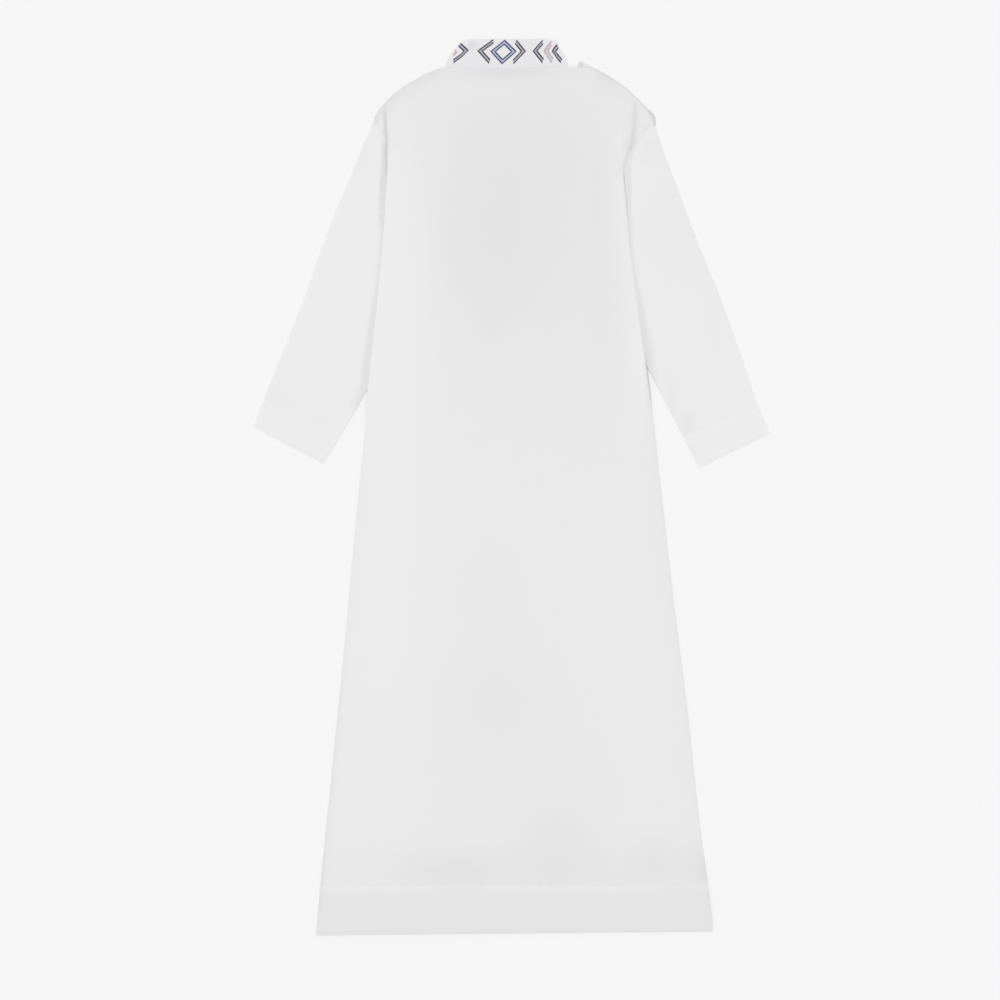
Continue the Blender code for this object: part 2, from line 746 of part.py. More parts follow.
def build_placket(name):
    """Pointed placket strip set flush in the front opening."""
    middle = []
    normals = []
    half = PLACKET_WIDTH / 2.0 - PLACKET_SIDE_GAP
    foot = PLACKET_TIP_Y + PLACKET_POINT + PLACKET_SIDE_GAP
    for f in PLACKET_ROWS:
        for side in (-1.0, 0.0, 1.0):
            x = PLACKET_X + half * side
            low = foot if side else PLACKET_TIP_Y + 2.0 * PLACKET_SIDE_GAP
            middle.append(Vector((x, mix(low, smooth(FRONT_TOP, x), f), FRONT_MID)))
            normals.append(UP)
    return make_solid(name, middle, normals, grid_quads(len(PLACKET_ROWS), 3), WALL, WHITE_CLOTH)


def main():
    """Build every piece of the robe."""
    for item in list(bpy.data.objects):
        bpy.data.objects.remove(item, do_unlink=True)
    front = Panel(FRONT_RIGHT_EDGE, FRONT_TOP, front_height, FRONT_LOWER_ROWS, FRONT_UPPER_ROWS, 1.0)
    front.build("front", True)
    Panel(RIGHT_EDGE, BACK_TOP, back_height, BACK_LOWER_ROWS, BACK_UPPER_ROWS, -1.0).build(
        "back", False)
    build_sleeve("sleeve_left", LEFT)
    build_sleeve("sleeve_right", RIGHT)
    build_cuff("cuff_left", LEFT)
    build_cuff("cuff_right", RIGHT)
    build_collar("collar", collar_across(front))
    build_placket("placket")


main()
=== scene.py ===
"""Long white robe with a stand collar, laid on its front with the back side up.

Lengths are metres and +Z is up. Every cut piece is a thin closed shell on the
form of its solid, with the folds, seams, stitches and embroidery of the cloth.
"""
from __future__ import annotations

import logging
import math
from dataclasses import dataclass, field
from enum import Enum

import bpy
import mathutils
import numpy as np
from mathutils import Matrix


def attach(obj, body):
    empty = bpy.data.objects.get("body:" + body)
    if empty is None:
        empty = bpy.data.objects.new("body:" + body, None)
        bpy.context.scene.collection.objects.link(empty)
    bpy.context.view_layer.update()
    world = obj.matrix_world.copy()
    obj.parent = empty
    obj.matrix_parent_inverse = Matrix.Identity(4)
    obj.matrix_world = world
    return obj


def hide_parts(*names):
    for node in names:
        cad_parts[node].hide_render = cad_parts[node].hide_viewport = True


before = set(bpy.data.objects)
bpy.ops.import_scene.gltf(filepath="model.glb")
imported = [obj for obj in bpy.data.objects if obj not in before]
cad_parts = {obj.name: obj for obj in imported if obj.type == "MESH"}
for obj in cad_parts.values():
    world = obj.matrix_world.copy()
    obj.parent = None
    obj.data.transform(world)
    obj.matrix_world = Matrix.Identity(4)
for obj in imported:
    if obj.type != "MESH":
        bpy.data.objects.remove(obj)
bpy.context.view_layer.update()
LOG = logging.getLogger("robe")
BODY = "root"

# cloth walls and the spaces between layers
WALL = 0.0010
CUFF_WALL = 0.0013
COLLAR_WALL = 0.0015
LAYER_GAP = 0.0003
LAYER_STEP = WALL + LAYER_GAP
COLLAR_LAYER_GAP = 0.0004
FRONT_MID = WALL / 2.0
BACK_MID = FRONT_MID + LAYER_STEP
TUCK_LIFT = 2.0 * LAYER_STEP
# painted light: rims and folds are painted lighter the more they turn sideways, by up to this share
PAINTED_RIM_LIGHT = 0.16

# how far pieces reach past their seams
SEAM_LAP = 0.0011
SEAM_RUN = 0.0100
SEAM_LEAD = 1.2
SEAM_SHARE = 0.0400
CUFF_JOIN = -0.0010
COLLAR_JOIN = -0.0003

# heights of the hem and its sewn line
HEM_LEFT_Y = -0.7348
HEM_RIGHT_Y = -0.7282
HEM_STITCH_Y = -0.6520
HEM_ALLOWANCE = 0.0040
HEM_RISE_LENGTH = 0.0380

# front opening strip
PLACKET_X = -0.0080
PLACKET_WIDTH = 0.0360
PLACKET_TIP_Y = 0.2500
PLACKET_POINT = 0.0180
PLACKET_SIDE_GAP = 0.0004

# collar
COLLAR_BASE_Y = 0.6900
COLLAR_SIDE_TOP_Y = 0.7310
COLLAR_FRONT_HEIGHT = 0.0460
COLLAR_SIDE_HEIGHT = 0.0410
COLLAR_OPENING_X = -0.0085
COLLAR_OPENING_GAP = 0.0006

# lie of the tucked sleeves
TUCK_MARGIN = 0.0080
TUCK_SLOPE = 0.0600
TUCK_CHORDS = 6
LEDGE_REACH = 0.0300
LEDGE_FALL = 0.0105
LEDGE_RUN = 0.0400
SIDE_MARGIN = 0.0120
SLEEVE_RISE = 0.0360

# steps of round edges, powers of soft curves, and halvings of a search
FOLD_STEPS = 6
RIM_STEPS = 4
ROLL_POWER = 1.5
LEAN_POWER = 4
HALVINGS = 40

# noise in the weave: turns a metre, and strength of its tones
SLUB_ALONG = 14.0
SLUB_ACROSS = 1100.0
HANDLE_TURNS = 17.0
SLUB_TONE = 0.9
HANDLE_TONE = 0.6

Points = np.ndarray


def ease(t: Points) -> Points:
    """Soft step from 0 to 1."""
    t = np.clip(t, 0.0, 1.0)
    return t * t * (3.0 - 2.0 * t)


def mix(a: Points, b: Points, t: Points) -> Points:
    """Value or place a fraction t of the way from a to b."""
    return a + (b - a) * t


@dataclass(frozen=True)
class Ramp:
    """Soft step from 0 to 1 that begins at a place and takes a length to rise."""

    start: float
    run: float

    def __call__(self, at: Points) -> Points:
        """Height of the step at each place."""
        return ease((at - self.start) / self.run)


def spaced(parts: tuple[tuple[float, int], ...]) -> Points:
    """Grid lines from 0 to 1 made of evenly divided stretches.

    Args:
        parts: The end of each stretch and how many steps it is divided in.

    Returns:
        The grid lines, the first at 0 and the last at the last end.
    """
    lines = [0.0]
    for end, steps in parts:
        start = lines[-1]
        lines += [mix(start, end, (n + 1) / steps) for n in range(steps)]
    return np.array(lines)


def mirrored(parts: tuple[tuple[float, int], ...]) -> Points:
    """Grid lines from 0 to 1 whose second half mirrors the first.

    Args:
        parts: Stretches of the first half, which ends at 0.5.

    Returns:
        The grid lines.
    """
    half = spaced(parts)
    return np.concatenate([half, 1.0 - half[-2::-1]])


@dataclass(frozen=True)
class Curve:
    """Smooth line through knots of place and value, without overshoot."""

    knots: tuple[tuple[float, float], ...]

    def __call__(self, at: Points) -> Points:
        """Value of the line.

        Args:
            at: Places along the line.

        Returns:
            The value at each place, held level past both ends.
        """
        places = np.array([knot[0] for knot in self.knots])
        values = np.array([knot[1] for knot in self.knots])
        spans = np.diff(places)
        slopes = np.diff(values) / spans
        before = slopes[:-1]
        after = slopes[1:]
        same = before * after > 0.0
        total = np.where(same, before + after, 1.0)
        inner = np.where(same, 2.0 * before * after / total, 0.0)
        tangents = np.concatenate([slopes[:1], inner, slopes[-1:]])
        at = np.clip(np.asarray(at, dtype=float), places[0], places[-1])
        k = np.clip(np.searchsorted(places, at, side="right") - 1, 0, len(spans) - 1)
        run = spans[k]
        t = (at - places[k]) / run
        low = (2 * t ** 3 - 3 * t ** 2 + 1) * values[k] + (t ** 3 - 2 * t ** 2 + t) * run * tangents[k]
        high = (3 * t ** 2 - 2 * t ** 3) * values[k + 1] + (t ** 3 - t ** 2) * run * tangents[k + 1]
        return low + high


# outlines of the body: x of the sides at each y, and y of the tops at each x
LEFT_EDGE = Curve((
    (-0.7356, -0.3214), (-0.6610, -0.3148), (-0.4638, -0.2952), (-0.2668, -0.2755),
    (-0.0698, -0.2574), (0.0944, -0.2414), (0.1634, -0.2368), (0.2438, -0.2284),
    (0.3276, -0.2200), (0.4130, -0.2119), (0.4885, -0.2073), (0.5670, -0.2060),
    (0.5800, -0.2130), (0.5940, -0.2204), (0.6070, -0.2250),
))
RIGHT_SIDE = (
    (-0.7290, 0.3308), (-0.6690, 0.3245), (-0.5620, 0.3098), (-0.3650, 0.2883),
    (-0.1683, 0.2638), (0.0123, 0.2434), (0.1256, 0.2312), (0.1979, 0.2222),
    (0.2260, 0.2172), (0.3325, 0.2034), (0.3900, 0.1960), (0.4720, 0.1880),
    (0.5200, 0.1839),
    (0.5380, 0.1890), (0.5610, 0.2010), (0.5770, 0.2120),
)
RIGHT_EDGE = Curve(RIGHT_SIDE + ((0.5860, 0.2218), (0.5945, 0.2334)))
FRONT_RIGHT_EDGE = Curve(RIGHT_SIDE[:-1] + (
    (0.5710, 0.2095), (0.5800, 0.2215), (0.5880, 0.2335), (0.5925, 0.2366), (0.6090, 0.2355),
))
LEFT_SHOULDER = (
    (-0.2250, 0.6070), (-0.2222, 0.6130), (-0.2160, 0.6216), (-0.1985, 0.6413),
    (-0.1720, 0.6611), (-0.1360, 0.6806), (-0.1160, 0.6884),
)
BACK_TOP = Curve(LEFT_SHOULDER + (
    (-0.1080, 0.6893), (-0.0100, 0.6880), (0.0900, 0.6913), (0.0980, 0.6908),
    (0.1060, 0.6897), (0.1180, 0.6894), (0.1290, 0.6888), (0.1480, 0.6808),
    (0.1780, 0.6620), (0.2010, 0.6422), (0.2184, 0.6247), (0.2256, 0.6152),
    (0.2307, 0.6050), (0.2334, 0.5945),
))
FRONT_TOP = Curve(LEFT_SHOULDER + (
    (-0.1110, 0.6880), (-0.1045, 0.6790), (-0.0900, 0.6660), (-0.0550, 0.6505),
    (-0.0100, 0.6450), (0.0350, 0.6505), (0.0700, 0.6660), (0.0870, 0.6800),
    (0.0950, 0.6860), (0.1055, 0.6880), (0.1095, 0.6990), (0.1170, 0.6984),
    (0.1280, 0.6927), (0.1480, 0.6828), (0.1780, 0.6638), (0.2010, 0.6440),
    (0.2220, 0.6240), (0.2325, 0.6138), (0.2355, 0.6090),
))
# outline of the collar's back half, in the same order
COLLAR_LEFT = Curve((
    (0.6900, -0.1100), (0.6970, -0.1080), (0.7070, -0.1030), (0.7167, -0.0965), (0.7310, -0.0845),
))
COLLAR_RIGHT = Curve((
    (0.6900, 0.0928), (0.7020, 0.0891), (0.7118, 0.0842), (0.7217, 0.0792), (0.7310, 0.0745),
))
COLLAR_TOP = Curve((
    (-0.0845, 0.7310), (-0.0770, 0.7335), (-0.0650, 0.7362), (0.0530, 0.7362), (0.0640, 0.7348),
    (0.0695, 0.7342), (0.0745, 0.7310),
))


def chord_distance(x: Points, y: Points, start: Points, end: Points) -> tuple[Points, Points]:
    """Distance of points from a straight chord.

    Args:
        x: x of the points.
        y: y of the points.
        start: Start of the chord.
        end: End of the chord.

    Returns:
        The distance, and the share of the chord passed at the nearest place.
    """
    dx = end[0] - start[0]
    dy = end[1] - start[1]
    length = math.hypot(dx, dy)
    t = np.clip(((x - start[0]) * dx + (y - start[1]) * dy) / length ** 2, 0.0, 1.0)
    away = np.hypot(x - start[0] - t * dx, y - start[1] - t * dy)
    return away, t


@dataclass(frozen=True)
class Crease:
    """One soft fold: a trough or ridge along a line, with painted shade where light can't reach."""

    line: tuple[tuple[float, float], ...]
    width: float
    height: float
    tone: float = 0.0
    tone_width: float = 0.0030
    ends: float = 0.22
    clearance: float = 1.2

    def track(self, x: Points, y: Points) -> tuple[Points, Points]:
        """Place of points along the fold.

        Args:
            x: x of the points.
            y: y of the points.

        Returns:
            Distance from the line, and the strength of the fold there, which
            fades towards both ends.
        """
        runs = [math.dist(a, b) for a, b in zip(self.line, self.line[1:])]
        total = sum(runs)
        nearest = np.full(np.shape(x), np.inf)
        place = np.zeros(np.shape(x))
        passed = 0.0
        for start, end, run in zip(self.line, self.line[1:], runs):
            away, t = chord_distance(x, y, start, end)
            closer = away < nearest
            nearest = np.where(closer, away, nearest)
            place = np.where(closer, (passed + t * run) / total, place)
            passed += run
        return nearest, ease(place / self.ends) * ease((1.0 - place) / self.ends)

    def relief(self, x: Points, y: Points, room: Points) -> Points:
        """Height that the fold adds.

        Args:
            x: x of the points.
            y: y of the points.
            room: Distance of the points from the edge of the cloth.

        Returns:
            Height at each point, fading towards the edge.
        """
        nearest, strength = self.track(x, y)
        height = self.height * np.exp(-(nearest / self.width) ** 2) * strength
        return height * ease(room / (self.clearance * self.width))

    def shade(self, x: Points, y: Points) -> Points:
        """Painted shade that the fold adds at each point."""
        nearest, strength = self.track(x, y)
        return self.tone * np.exp(-(nearest / self.tone_width) ** 2) * strength


@dataclass(frozen=True)
class Patch:
    """Place painted a little darker or lighter: painted shade and light at folds, edges and hollows, and tone
    over doubled layers.
    """

    x: float
    y: float
    reach_x: float
    reach_y: float
    tone: float
    evenness: float = 1.0

    def at(self, x: Points, y: Points) -> Points:
        """Tone that the patch adds at each point."""
        away = ((x - self.x) / self.reach_x) ** 2 + ((y - self.y) / self.reach_y) ** 2
        return self.tone * np.exp(-away ** self.evenness)


def patched(patches: tuple[Patch, ...], x: Points, y: Points) -> Points:
    """Painted shade, painted light and tone that all the patches together add at each point."""
    return sum((patch.at(x, y) for patch in patches), np.zeros(np.shape(x)))


@dataclass(frozen=True)
class EdgeShade:
    """Shade on a sleeve along the edge of the body above it."""

    depth: Curve
    reach: Curve
    fade: Curve

    def at(self, beyond: Points, y: Points) -> Points:
        """Tone that the shade adds at each distance beyond the edge."""
        return -self.depth(y) * (1.0 - ease((beyond - self.reach(y)) / self.fade(y)))


class Hand(Enum):
    """Which side of the robe a piece is on, seen from the back."""

    LEFT = "left"
    RIGHT = "right"


@dataclass
class Sheet:
    """Middle surface of a cloth piece as a grid of points."""

    middle: Points
    normals: Points
    grain: Points
    closed: bool = False
    keep: Points | None = None
    shade: Points | None = None

    def cells(self) -> tuple[Points, Points]:
        """Corners of the grid's cells.

        Returns:
            The four point numbers of every kept cell, and their grain numbers,
            which run on past the joint of a closed tube.
        """
        rows, columns = self.middle.shape[:2]
        wide = columns if self.closed else columns - 1
        i, j = np.meshgrid(np.arange(rows - 1), np.arange(wide), indexing="ij")
        if self.keep is not None:
            i, j = i[self.keep], j[self.keep]
        i, j = i.ravel(), j.ravel()
        k = (j + 1) % columns
        corners = np.stack([i * columns + j, i * columns + k, (i + 1) * columns + k,
                            (i + 1) * columns + j], axis=1)
        across = self.grain.shape[1]
        grains = np.stack([i * across + j, i * across + j + 1, (i + 1) * across + j + 1,
                           (i + 1) * across + j], axis=1)
        return corners, grains

    def shell(self, name: str, wall: float, material: bpy.types.Material) -> bpy.types.Object:
        """Closed shell of the sheet, with a round rim along every free edge.

        Args:
            name: Name of the piece.
            wall: Thickness of the cloth.
            material: Its finish.

        Returns:
            The piece.
        """
        middle = self.middle.reshape(-1, 3)
        normals = self.normals.reshape(-1, 3)
        grain = self.grain.reshape(-1, 2)
        shade = np.zeros(len(middle)) if self.shade is None else self.shade.reshape(-1)
        corners, grains = self.cells()
        a, b, c = (middle[corners[:, n]] for n in range(3))
        facing = np.einsum("ij,ij->i", np.cross(b - a, c - b), normals[corners[:, 0]])
        if facing.sum() < 0.0:
            corners, grains = corners[:, ::-1], grains[:, ::-1]
        starts = corners.ravel()
        ends = np.roll(corners, -1, axis=1).ravel()
        start_grain = grains.ravel()
        end_grain = np.roll(grains, -1, axis=1).ravel()
        count = len(middle)
        free = ~np.isin(starts * count + ends, ends * count + starts)
        starts, ends = starts[free], ends[free]
        start_grain, end_grain = start_grain[free], end_grain[free]
        run = middle[ends] - middle[starts]
        run /= np.linalg.norm(run, axis=1, keepdims=True)
        outward = np.zeros_like(middle)
        np.add.at(outward, starts, np.cross(run, normals[starts]))
        np.add.at(outward, ends, np.cross(run, normals[ends]))
        size = np.linalg.norm(outward, axis=1, keepdims=True)
        outward = np.where(size > 0.0, outward / np.where(size > 0.0, size, 1.0), 0.0)
        radius = wall / 2.0
        used = np.unique(corners)
        rim = np.unique(starts)
        number = np.full((RIM_STEPS + 1, count), -1)
        places, shades = [], []
        total = 0
        for n in range(RIM_STEPS + 1):
            angle = math.pi * (0.5 - n / RIM_STEPS)
            members = used if n in (0, RIM_STEPS) else rim
            centre = middle[members] - outward[members] * radius
            reach = outward[members] * math.cos(angle) + normals[members] * math.sin(angle)
            places.append(centre + reach * radius)
            # painted light on the rims and folds, so that their sides don't read dark
            shades.append(shade[members] + PAINTED_RIM_LIGHT * (1.0 - np.abs(reach[:, 2])))
            number[n, members] = total + np.arange(len(members))
            total += len(members)
        faces = [number[0][corners], number[RIM_STEPS][corners[:, ::-1]]]
        charts = [grains, grains[:, ::-1]]
        for n in range(RIM_STEPS):
            faces.append(np.stack([number[n, ends], number[n, starts],
                                   number[n + 1, starts], number[n + 1, ends]], axis=1))
            charts.append(np.stack([end_grain, start_grain, start_grain, end_grain], axis=1))
        return mesh_piece(name, np.concatenate(places), np.concatenate(faces), material,
                          grain[np.concatenate(charts)], {"shade": np.concatenate(shades)})


def mesh_piece(name: str, places: Points, faces: Points, material: bpy.types.Material,
               grain: Points | None = None, fields: dict[str, Points] | None = None,
               ) -> bpy.types.Object:
    """Object with a mesh of four-sided faces, at the origin.

    Args:
        name: Name of the piece.
        places: Its points.
        faces: The four point numbers of each face.
        material: Its finish.
        grain: Place on the flat cloth of each corner of each face, in metres.
        fields: Values at the points, by name.

    Returns:
        The piece, riding on the robe's body.
    """
    mesh = bpy.data.meshes.new(name)
    mesh.vertices.add(len(places))
    mesh.vertices.foreach_set("co", places.astype(np.float32).ravel())
    mesh.loops.add(faces.size)
    mesh.loops.foreach_set("vertex_index", faces.astype(np.int32).ravel())
    mesh.polygons.add(len(faces))
    mesh.polygons.foreach_set("loop_start", np.arange(0, faces.size, 4, dtype=np.int32))
    mesh.update(calc_edges=True)
    if grain is not None:
        chart = mesh.uv_layers.new(name="grain")
        chart.data.foreach_set("uv", grain.astype(np.float32).ravel())
    for field_name, values in (fields or {}).items():
        layer = mesh.attributes.new(field_name, "FLOAT", "POINT")
        layer.data.foreach_set("value", values.astype(np.float32))
    mesh.validate()
    mesh.polygons.foreach_set("use_smooth", np.ones(len(mesh.polygons), dtype=bool))
    mesh.materials.append(material)
    piece = bpy.data.objects.new(name, mesh)
    bpy.context.scene.collection.objects.link(piece)
    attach(piece, BODY)
    LOG.info("%s: %d faces", name, len(mesh.polygons))
    return piece


class NodeSketch:
    """Short way to add and join the nodes of a material or node group."""

    def __init__(self, tree: bpy.types.NodeTree) -> None:
        """Keep the tree that the nodes go in."""
        self.tree = tree

    def add(self, kind: str, settings: dict[str, object] | None = None, **inputs: object) -> bpy.types.Node:
        """Add a node.

        Args:
            kind: Blender's name of the node type.
            settings: Values of the node's own properties.
            inputs: Values or sockets for its inputs, by name, or in_0 by number.

        Returns:
            The node.
        """
        node = self.tree.nodes.new(kind)
        for key, value in (settings or {}).items():
            setattr(node, key, value)
        for key, value in inputs.items():
            socket = node.inputs[int(key[3:]) if key.startswith("in_") else key.replace("_", " ")]
            if isinstance(value, bpy.types.NodeSocket):
                self.tree.links.new(value, socket)
            else:
                socket.default_value = value
        return node

    def sum_of(self, kind: str, one: object, two: object) -> bpy.types.NodeSocket:
        """Result of one step of arithmetic on two values or sockets."""
        return self.add("ShaderNodeMath", {"operation": kind}, in_0=one, in_1=two).outputs[0]


def weave_group() -> bpy.types.NodeTree:
    """Node group of a plain weave with slubs and the soft unevenness of pressed cloth.

    Returns:
        The group: height in metres and a tone from -1 to 1 over the surface.
    """
    tree = bpy.data.node_groups.new("plain_weave", "ShaderNodeTree")
    for name, kind, start in (("Grain", "NodeSocketVector", None), ("Pitch", "NodeSocketFloat", 0.00045),
                              ("Relief", "NodeSocketFloat", 0.00001), ("Slub", "NodeSocketFloat", 0.00002),
                              ("Handle", "NodeSocketFloat", 0.0002)):
        socket = tree.interface.new_socket(name=name, in_out="INPUT", socket_type=kind)
        if start is not None:
            socket.default_value = start
    for name in ("Height", "Tone"):
        tree.interface.new_socket(name=name, in_out="OUTPUT", socket_type="NodeSocketFloat")
    sketch = NodeSketch(tree)
    given = sketch.add("NodeGroupInput")
    grain = given.outputs["Grain"]
    parts = sketch.add("ShaderNodeSeparateXYZ", in_0=grain)
    waves = []
    for axis in ("X", "Y"):
        turns = sketch.sum_of("DIVIDE", parts.outputs[axis], given.outputs["Pitch"])
        angle = sketch.sum_of("MULTIPLY", turns, math.pi)
        waves.append(sketch.add("ShaderNodeMath", {"operation": "SINE"}, in_0=angle).outputs[0])
    weave = sketch.sum_of("MULTIPLY", waves[0], waves[1])
    slubs = []
    for stretch in ((SLUB_ACROSS, SLUB_ALONG, 1.0), (SLUB_ALONG, SLUB_ACROSS, 1.0)):
        spread = sketch.add("ShaderNodeVectorMath", {"operation": "MULTIPLY"}, in_0=grain, in_1=stretch)
        noise = sketch.add("ShaderNodeTexNoise", {"noise_dimensions": "2D"}, Vector=spread.outputs[0],
                           Scale=1.0, Detail=2.0, Roughness=0.6)
        slubs.append(sketch.sum_of("SUBTRACT", noise.outputs["Fac"], 0.5))
    slub = sketch.sum_of("ADD", slubs[0], slubs[1])
    soft = sketch.add("ShaderNodeTexNoise", {"noise_dimensions": "2D"}, Vector=grain,
                      Scale=HANDLE_TURNS, Detail=2.0, Roughness=0.45)
    handle = sketch.sum_of("SUBTRACT", soft.outputs["Fac"], 0.5)
    height = sketch.sum_of("MULTIPLY", weave, given.outputs["Relief"])
    height = sketch.sum_of("ADD", height, sketch.sum_of("MULTIPLY", slub, given.outputs["Slub"]))
    height = sketch.sum_of("ADD", height, sketch.sum_of("MULTIPLY", handle, given.outputs["Handle"]))
    tone = sketch.sum_of("ADD", sketch.sum_of("MULTIPLY", slub, SLUB_TONE),
                         sketch.sum_of("MULTIPLY", handle, HANDLE_TONE))
    sketch.add("NodeGroupOutput", Height=height, Tone=tone)
    return tree


@dataclass(frozen=True)
class ClothFinish:
    """Woven cloth: its colour, the painted light and shade and the tones that it reads from the shade values,
    and its weave.
    """

    name: str
    colour: tuple[float, float, float]
    pitch: float = 0.00045
    relief: float = 0.000006
    slub: float = 0.000012
    handle: float = 0.00030
    unevenness: float = 0.012
    roughness: float = 0.82
    gloss: float = 0.25
    sheen: float = 0.06
    sheen_spread: float = 0.6

    def make(self, weave: bpy.types.NodeTree) -> bpy.types.Material:
        """Build the material.

        Args:
            weave: The shared weave group.

        Returns:
            The material, which reads the grain map and the shade values.
        """
        material = bpy.data.materials.new(self.name)
        material.use_nodes = True
        sketch = NodeSketch(material.node_tree)
        shader = material.node_tree.nodes["Principled BSDF"]
        chart = sketch.add("ShaderNodeUVMap", {"uv_map": "grain"})
        group = sketch.add("ShaderNodeGroup", {"node_tree": weave}, Grain=chart.outputs[0],
                           Pitch=self.pitch, Relief=self.relief, Slub=self.slub, Handle=self.handle)
        shade = sketch.add("ShaderNodeAttribute", {"attribute_name": "shade"})
        tone = sketch.sum_of("MULTIPLY", group.outputs["Tone"], self.unevenness)
        tone = sketch.sum_of("ADD", tone, shade.outputs["Fac"])
        level = sketch.sum_of("ADD", tone, 1.0)
        colour = sketch.add("ShaderNodeVectorMath", {"operation": "SCALE"}, in_0=self.colour, Scale=level)
        bump = sketch.add("ShaderNodeBump", Strength=1.0, Distance=1.0, Height=group.outputs["Height"])
        links = material.node_tree.links
        links.new(colour.outputs[0], shader.inputs["Base Color"])
        links.new(bump.outputs["Normal"], shader.inputs["Normal"])
        shader.inputs["Roughness"].default_value = self.roughness
        shader.inputs["Specular IOR Level"].default_value = self.gloss
        shader.inputs["Sheen Weight"].default_value = self.sheen
        shader.inputs["Sheen Roughness"].default_value = self.sheen_spread
        material.diffuse_color = (*self.colour, 1.0)
        return material


@dataclass(frozen=True)
class ThreadFinish:
    """Sewing or embroidery thread, with a small change of tone from stitch to stitch."""

    name: str
    colour: tuple[float, float, float]
    roughness: float = 0.45
    spread: float = 0.12
    plies: float = 2600.0
    ply_strength: float = 0.25
    ply_height: float = 0.00004
    sheen: float = 0.1

    def make(self) -> bpy.types.Material:
        """Build the material.

        Returns:
            The material, which reads the tone of each stitch.
        """
        material = bpy.data.materials.new(self.name)
        material.use_nodes = True
        sketch = NodeSketch(material.node_tree)
        shader = material.node_tree.nodes["Principled BSDF"]
        tone = sketch.add("ShaderNodeAttribute", {"attribute_name": "tone"})
        level = sketch.sum_of("ADD", sketch.sum_of("MULTIPLY", tone.outputs["Fac"], self.spread), 1.0)
        colour = sketch.add("ShaderNodeVectorMath", {"operation": "SCALE"}, in_0=self.colour, Scale=level)
        place = sketch.add("ShaderNodeTexCoord")
        ply = sketch.add("ShaderNodeTexNoise", Vector=place.outputs["Object"], Scale=self.plies, Detail=1.0)
        bump = sketch.add("ShaderNodeBump", Strength=self.ply_strength, Distance=self.ply_height,
                          Height=ply.outputs["Fac"])
        links = material.node_tree.links
        links.new(colour.outputs[0], shader.inputs["Base Color"])
        links.new(bump.outputs["Normal"], shader.inputs["Normal"])
        shader.inputs["Roughness"].default_value = self.roughness
        shader.inputs["Sheen Weight"].default_value = self.sheen
        material.diffuse_color = (*self.colour, 1.0)
        return material


@dataclass(frozen=True)
class FloorFinish:
    """Matt pale studio floor, lit from beneath so that shadows stay faint."""

    name: str = "studio_floor"
    colour: tuple[float, float, float] = (0.30, 0.30, 0.30)
    glow: float = 0.6150
    tooth_scale: float = 900.0
    tooth_strength: float = 0.05
    tooth_height: float = 0.0001

    def make(self) -> bpy.types.Material:
        """Build the material.

        Returns:
            The material.
        """
        material = bpy.data.materials.new(self.name)
        material.use_nodes = True
        sketch = NodeSketch(material.node_tree)
        shader = material.node_tree.nodes["Principled BSDF"]
        place = sketch.add("ShaderNodeTexCoord")
        tooth = sketch.add("ShaderNodeTexNoise", Vector=place.outputs["Object"], Scale=self.tooth_scale,
                           Detail=1.0)
        bump = sketch.add("ShaderNodeBump", Strength=self.tooth_strength, Distance=self.tooth_height,
                          Height=tooth.outputs["Fac"])
        material.node_tree.links.new(bump.outputs["Normal"], shader.inputs["Normal"])
        shader.inputs["Base Color"].default_value = (*self.colour, 1.0)
        shader.inputs["Emission Color"].default_value = (1.0, 1.0, 1.0, 1.0)
        shader.inputs["Emission Strength"].default_value = self.glow
        shader.inputs["Roughness"].default_value = 1.0
        shader.inputs["Specular IOR Level"].default_value = 0.0
        return material


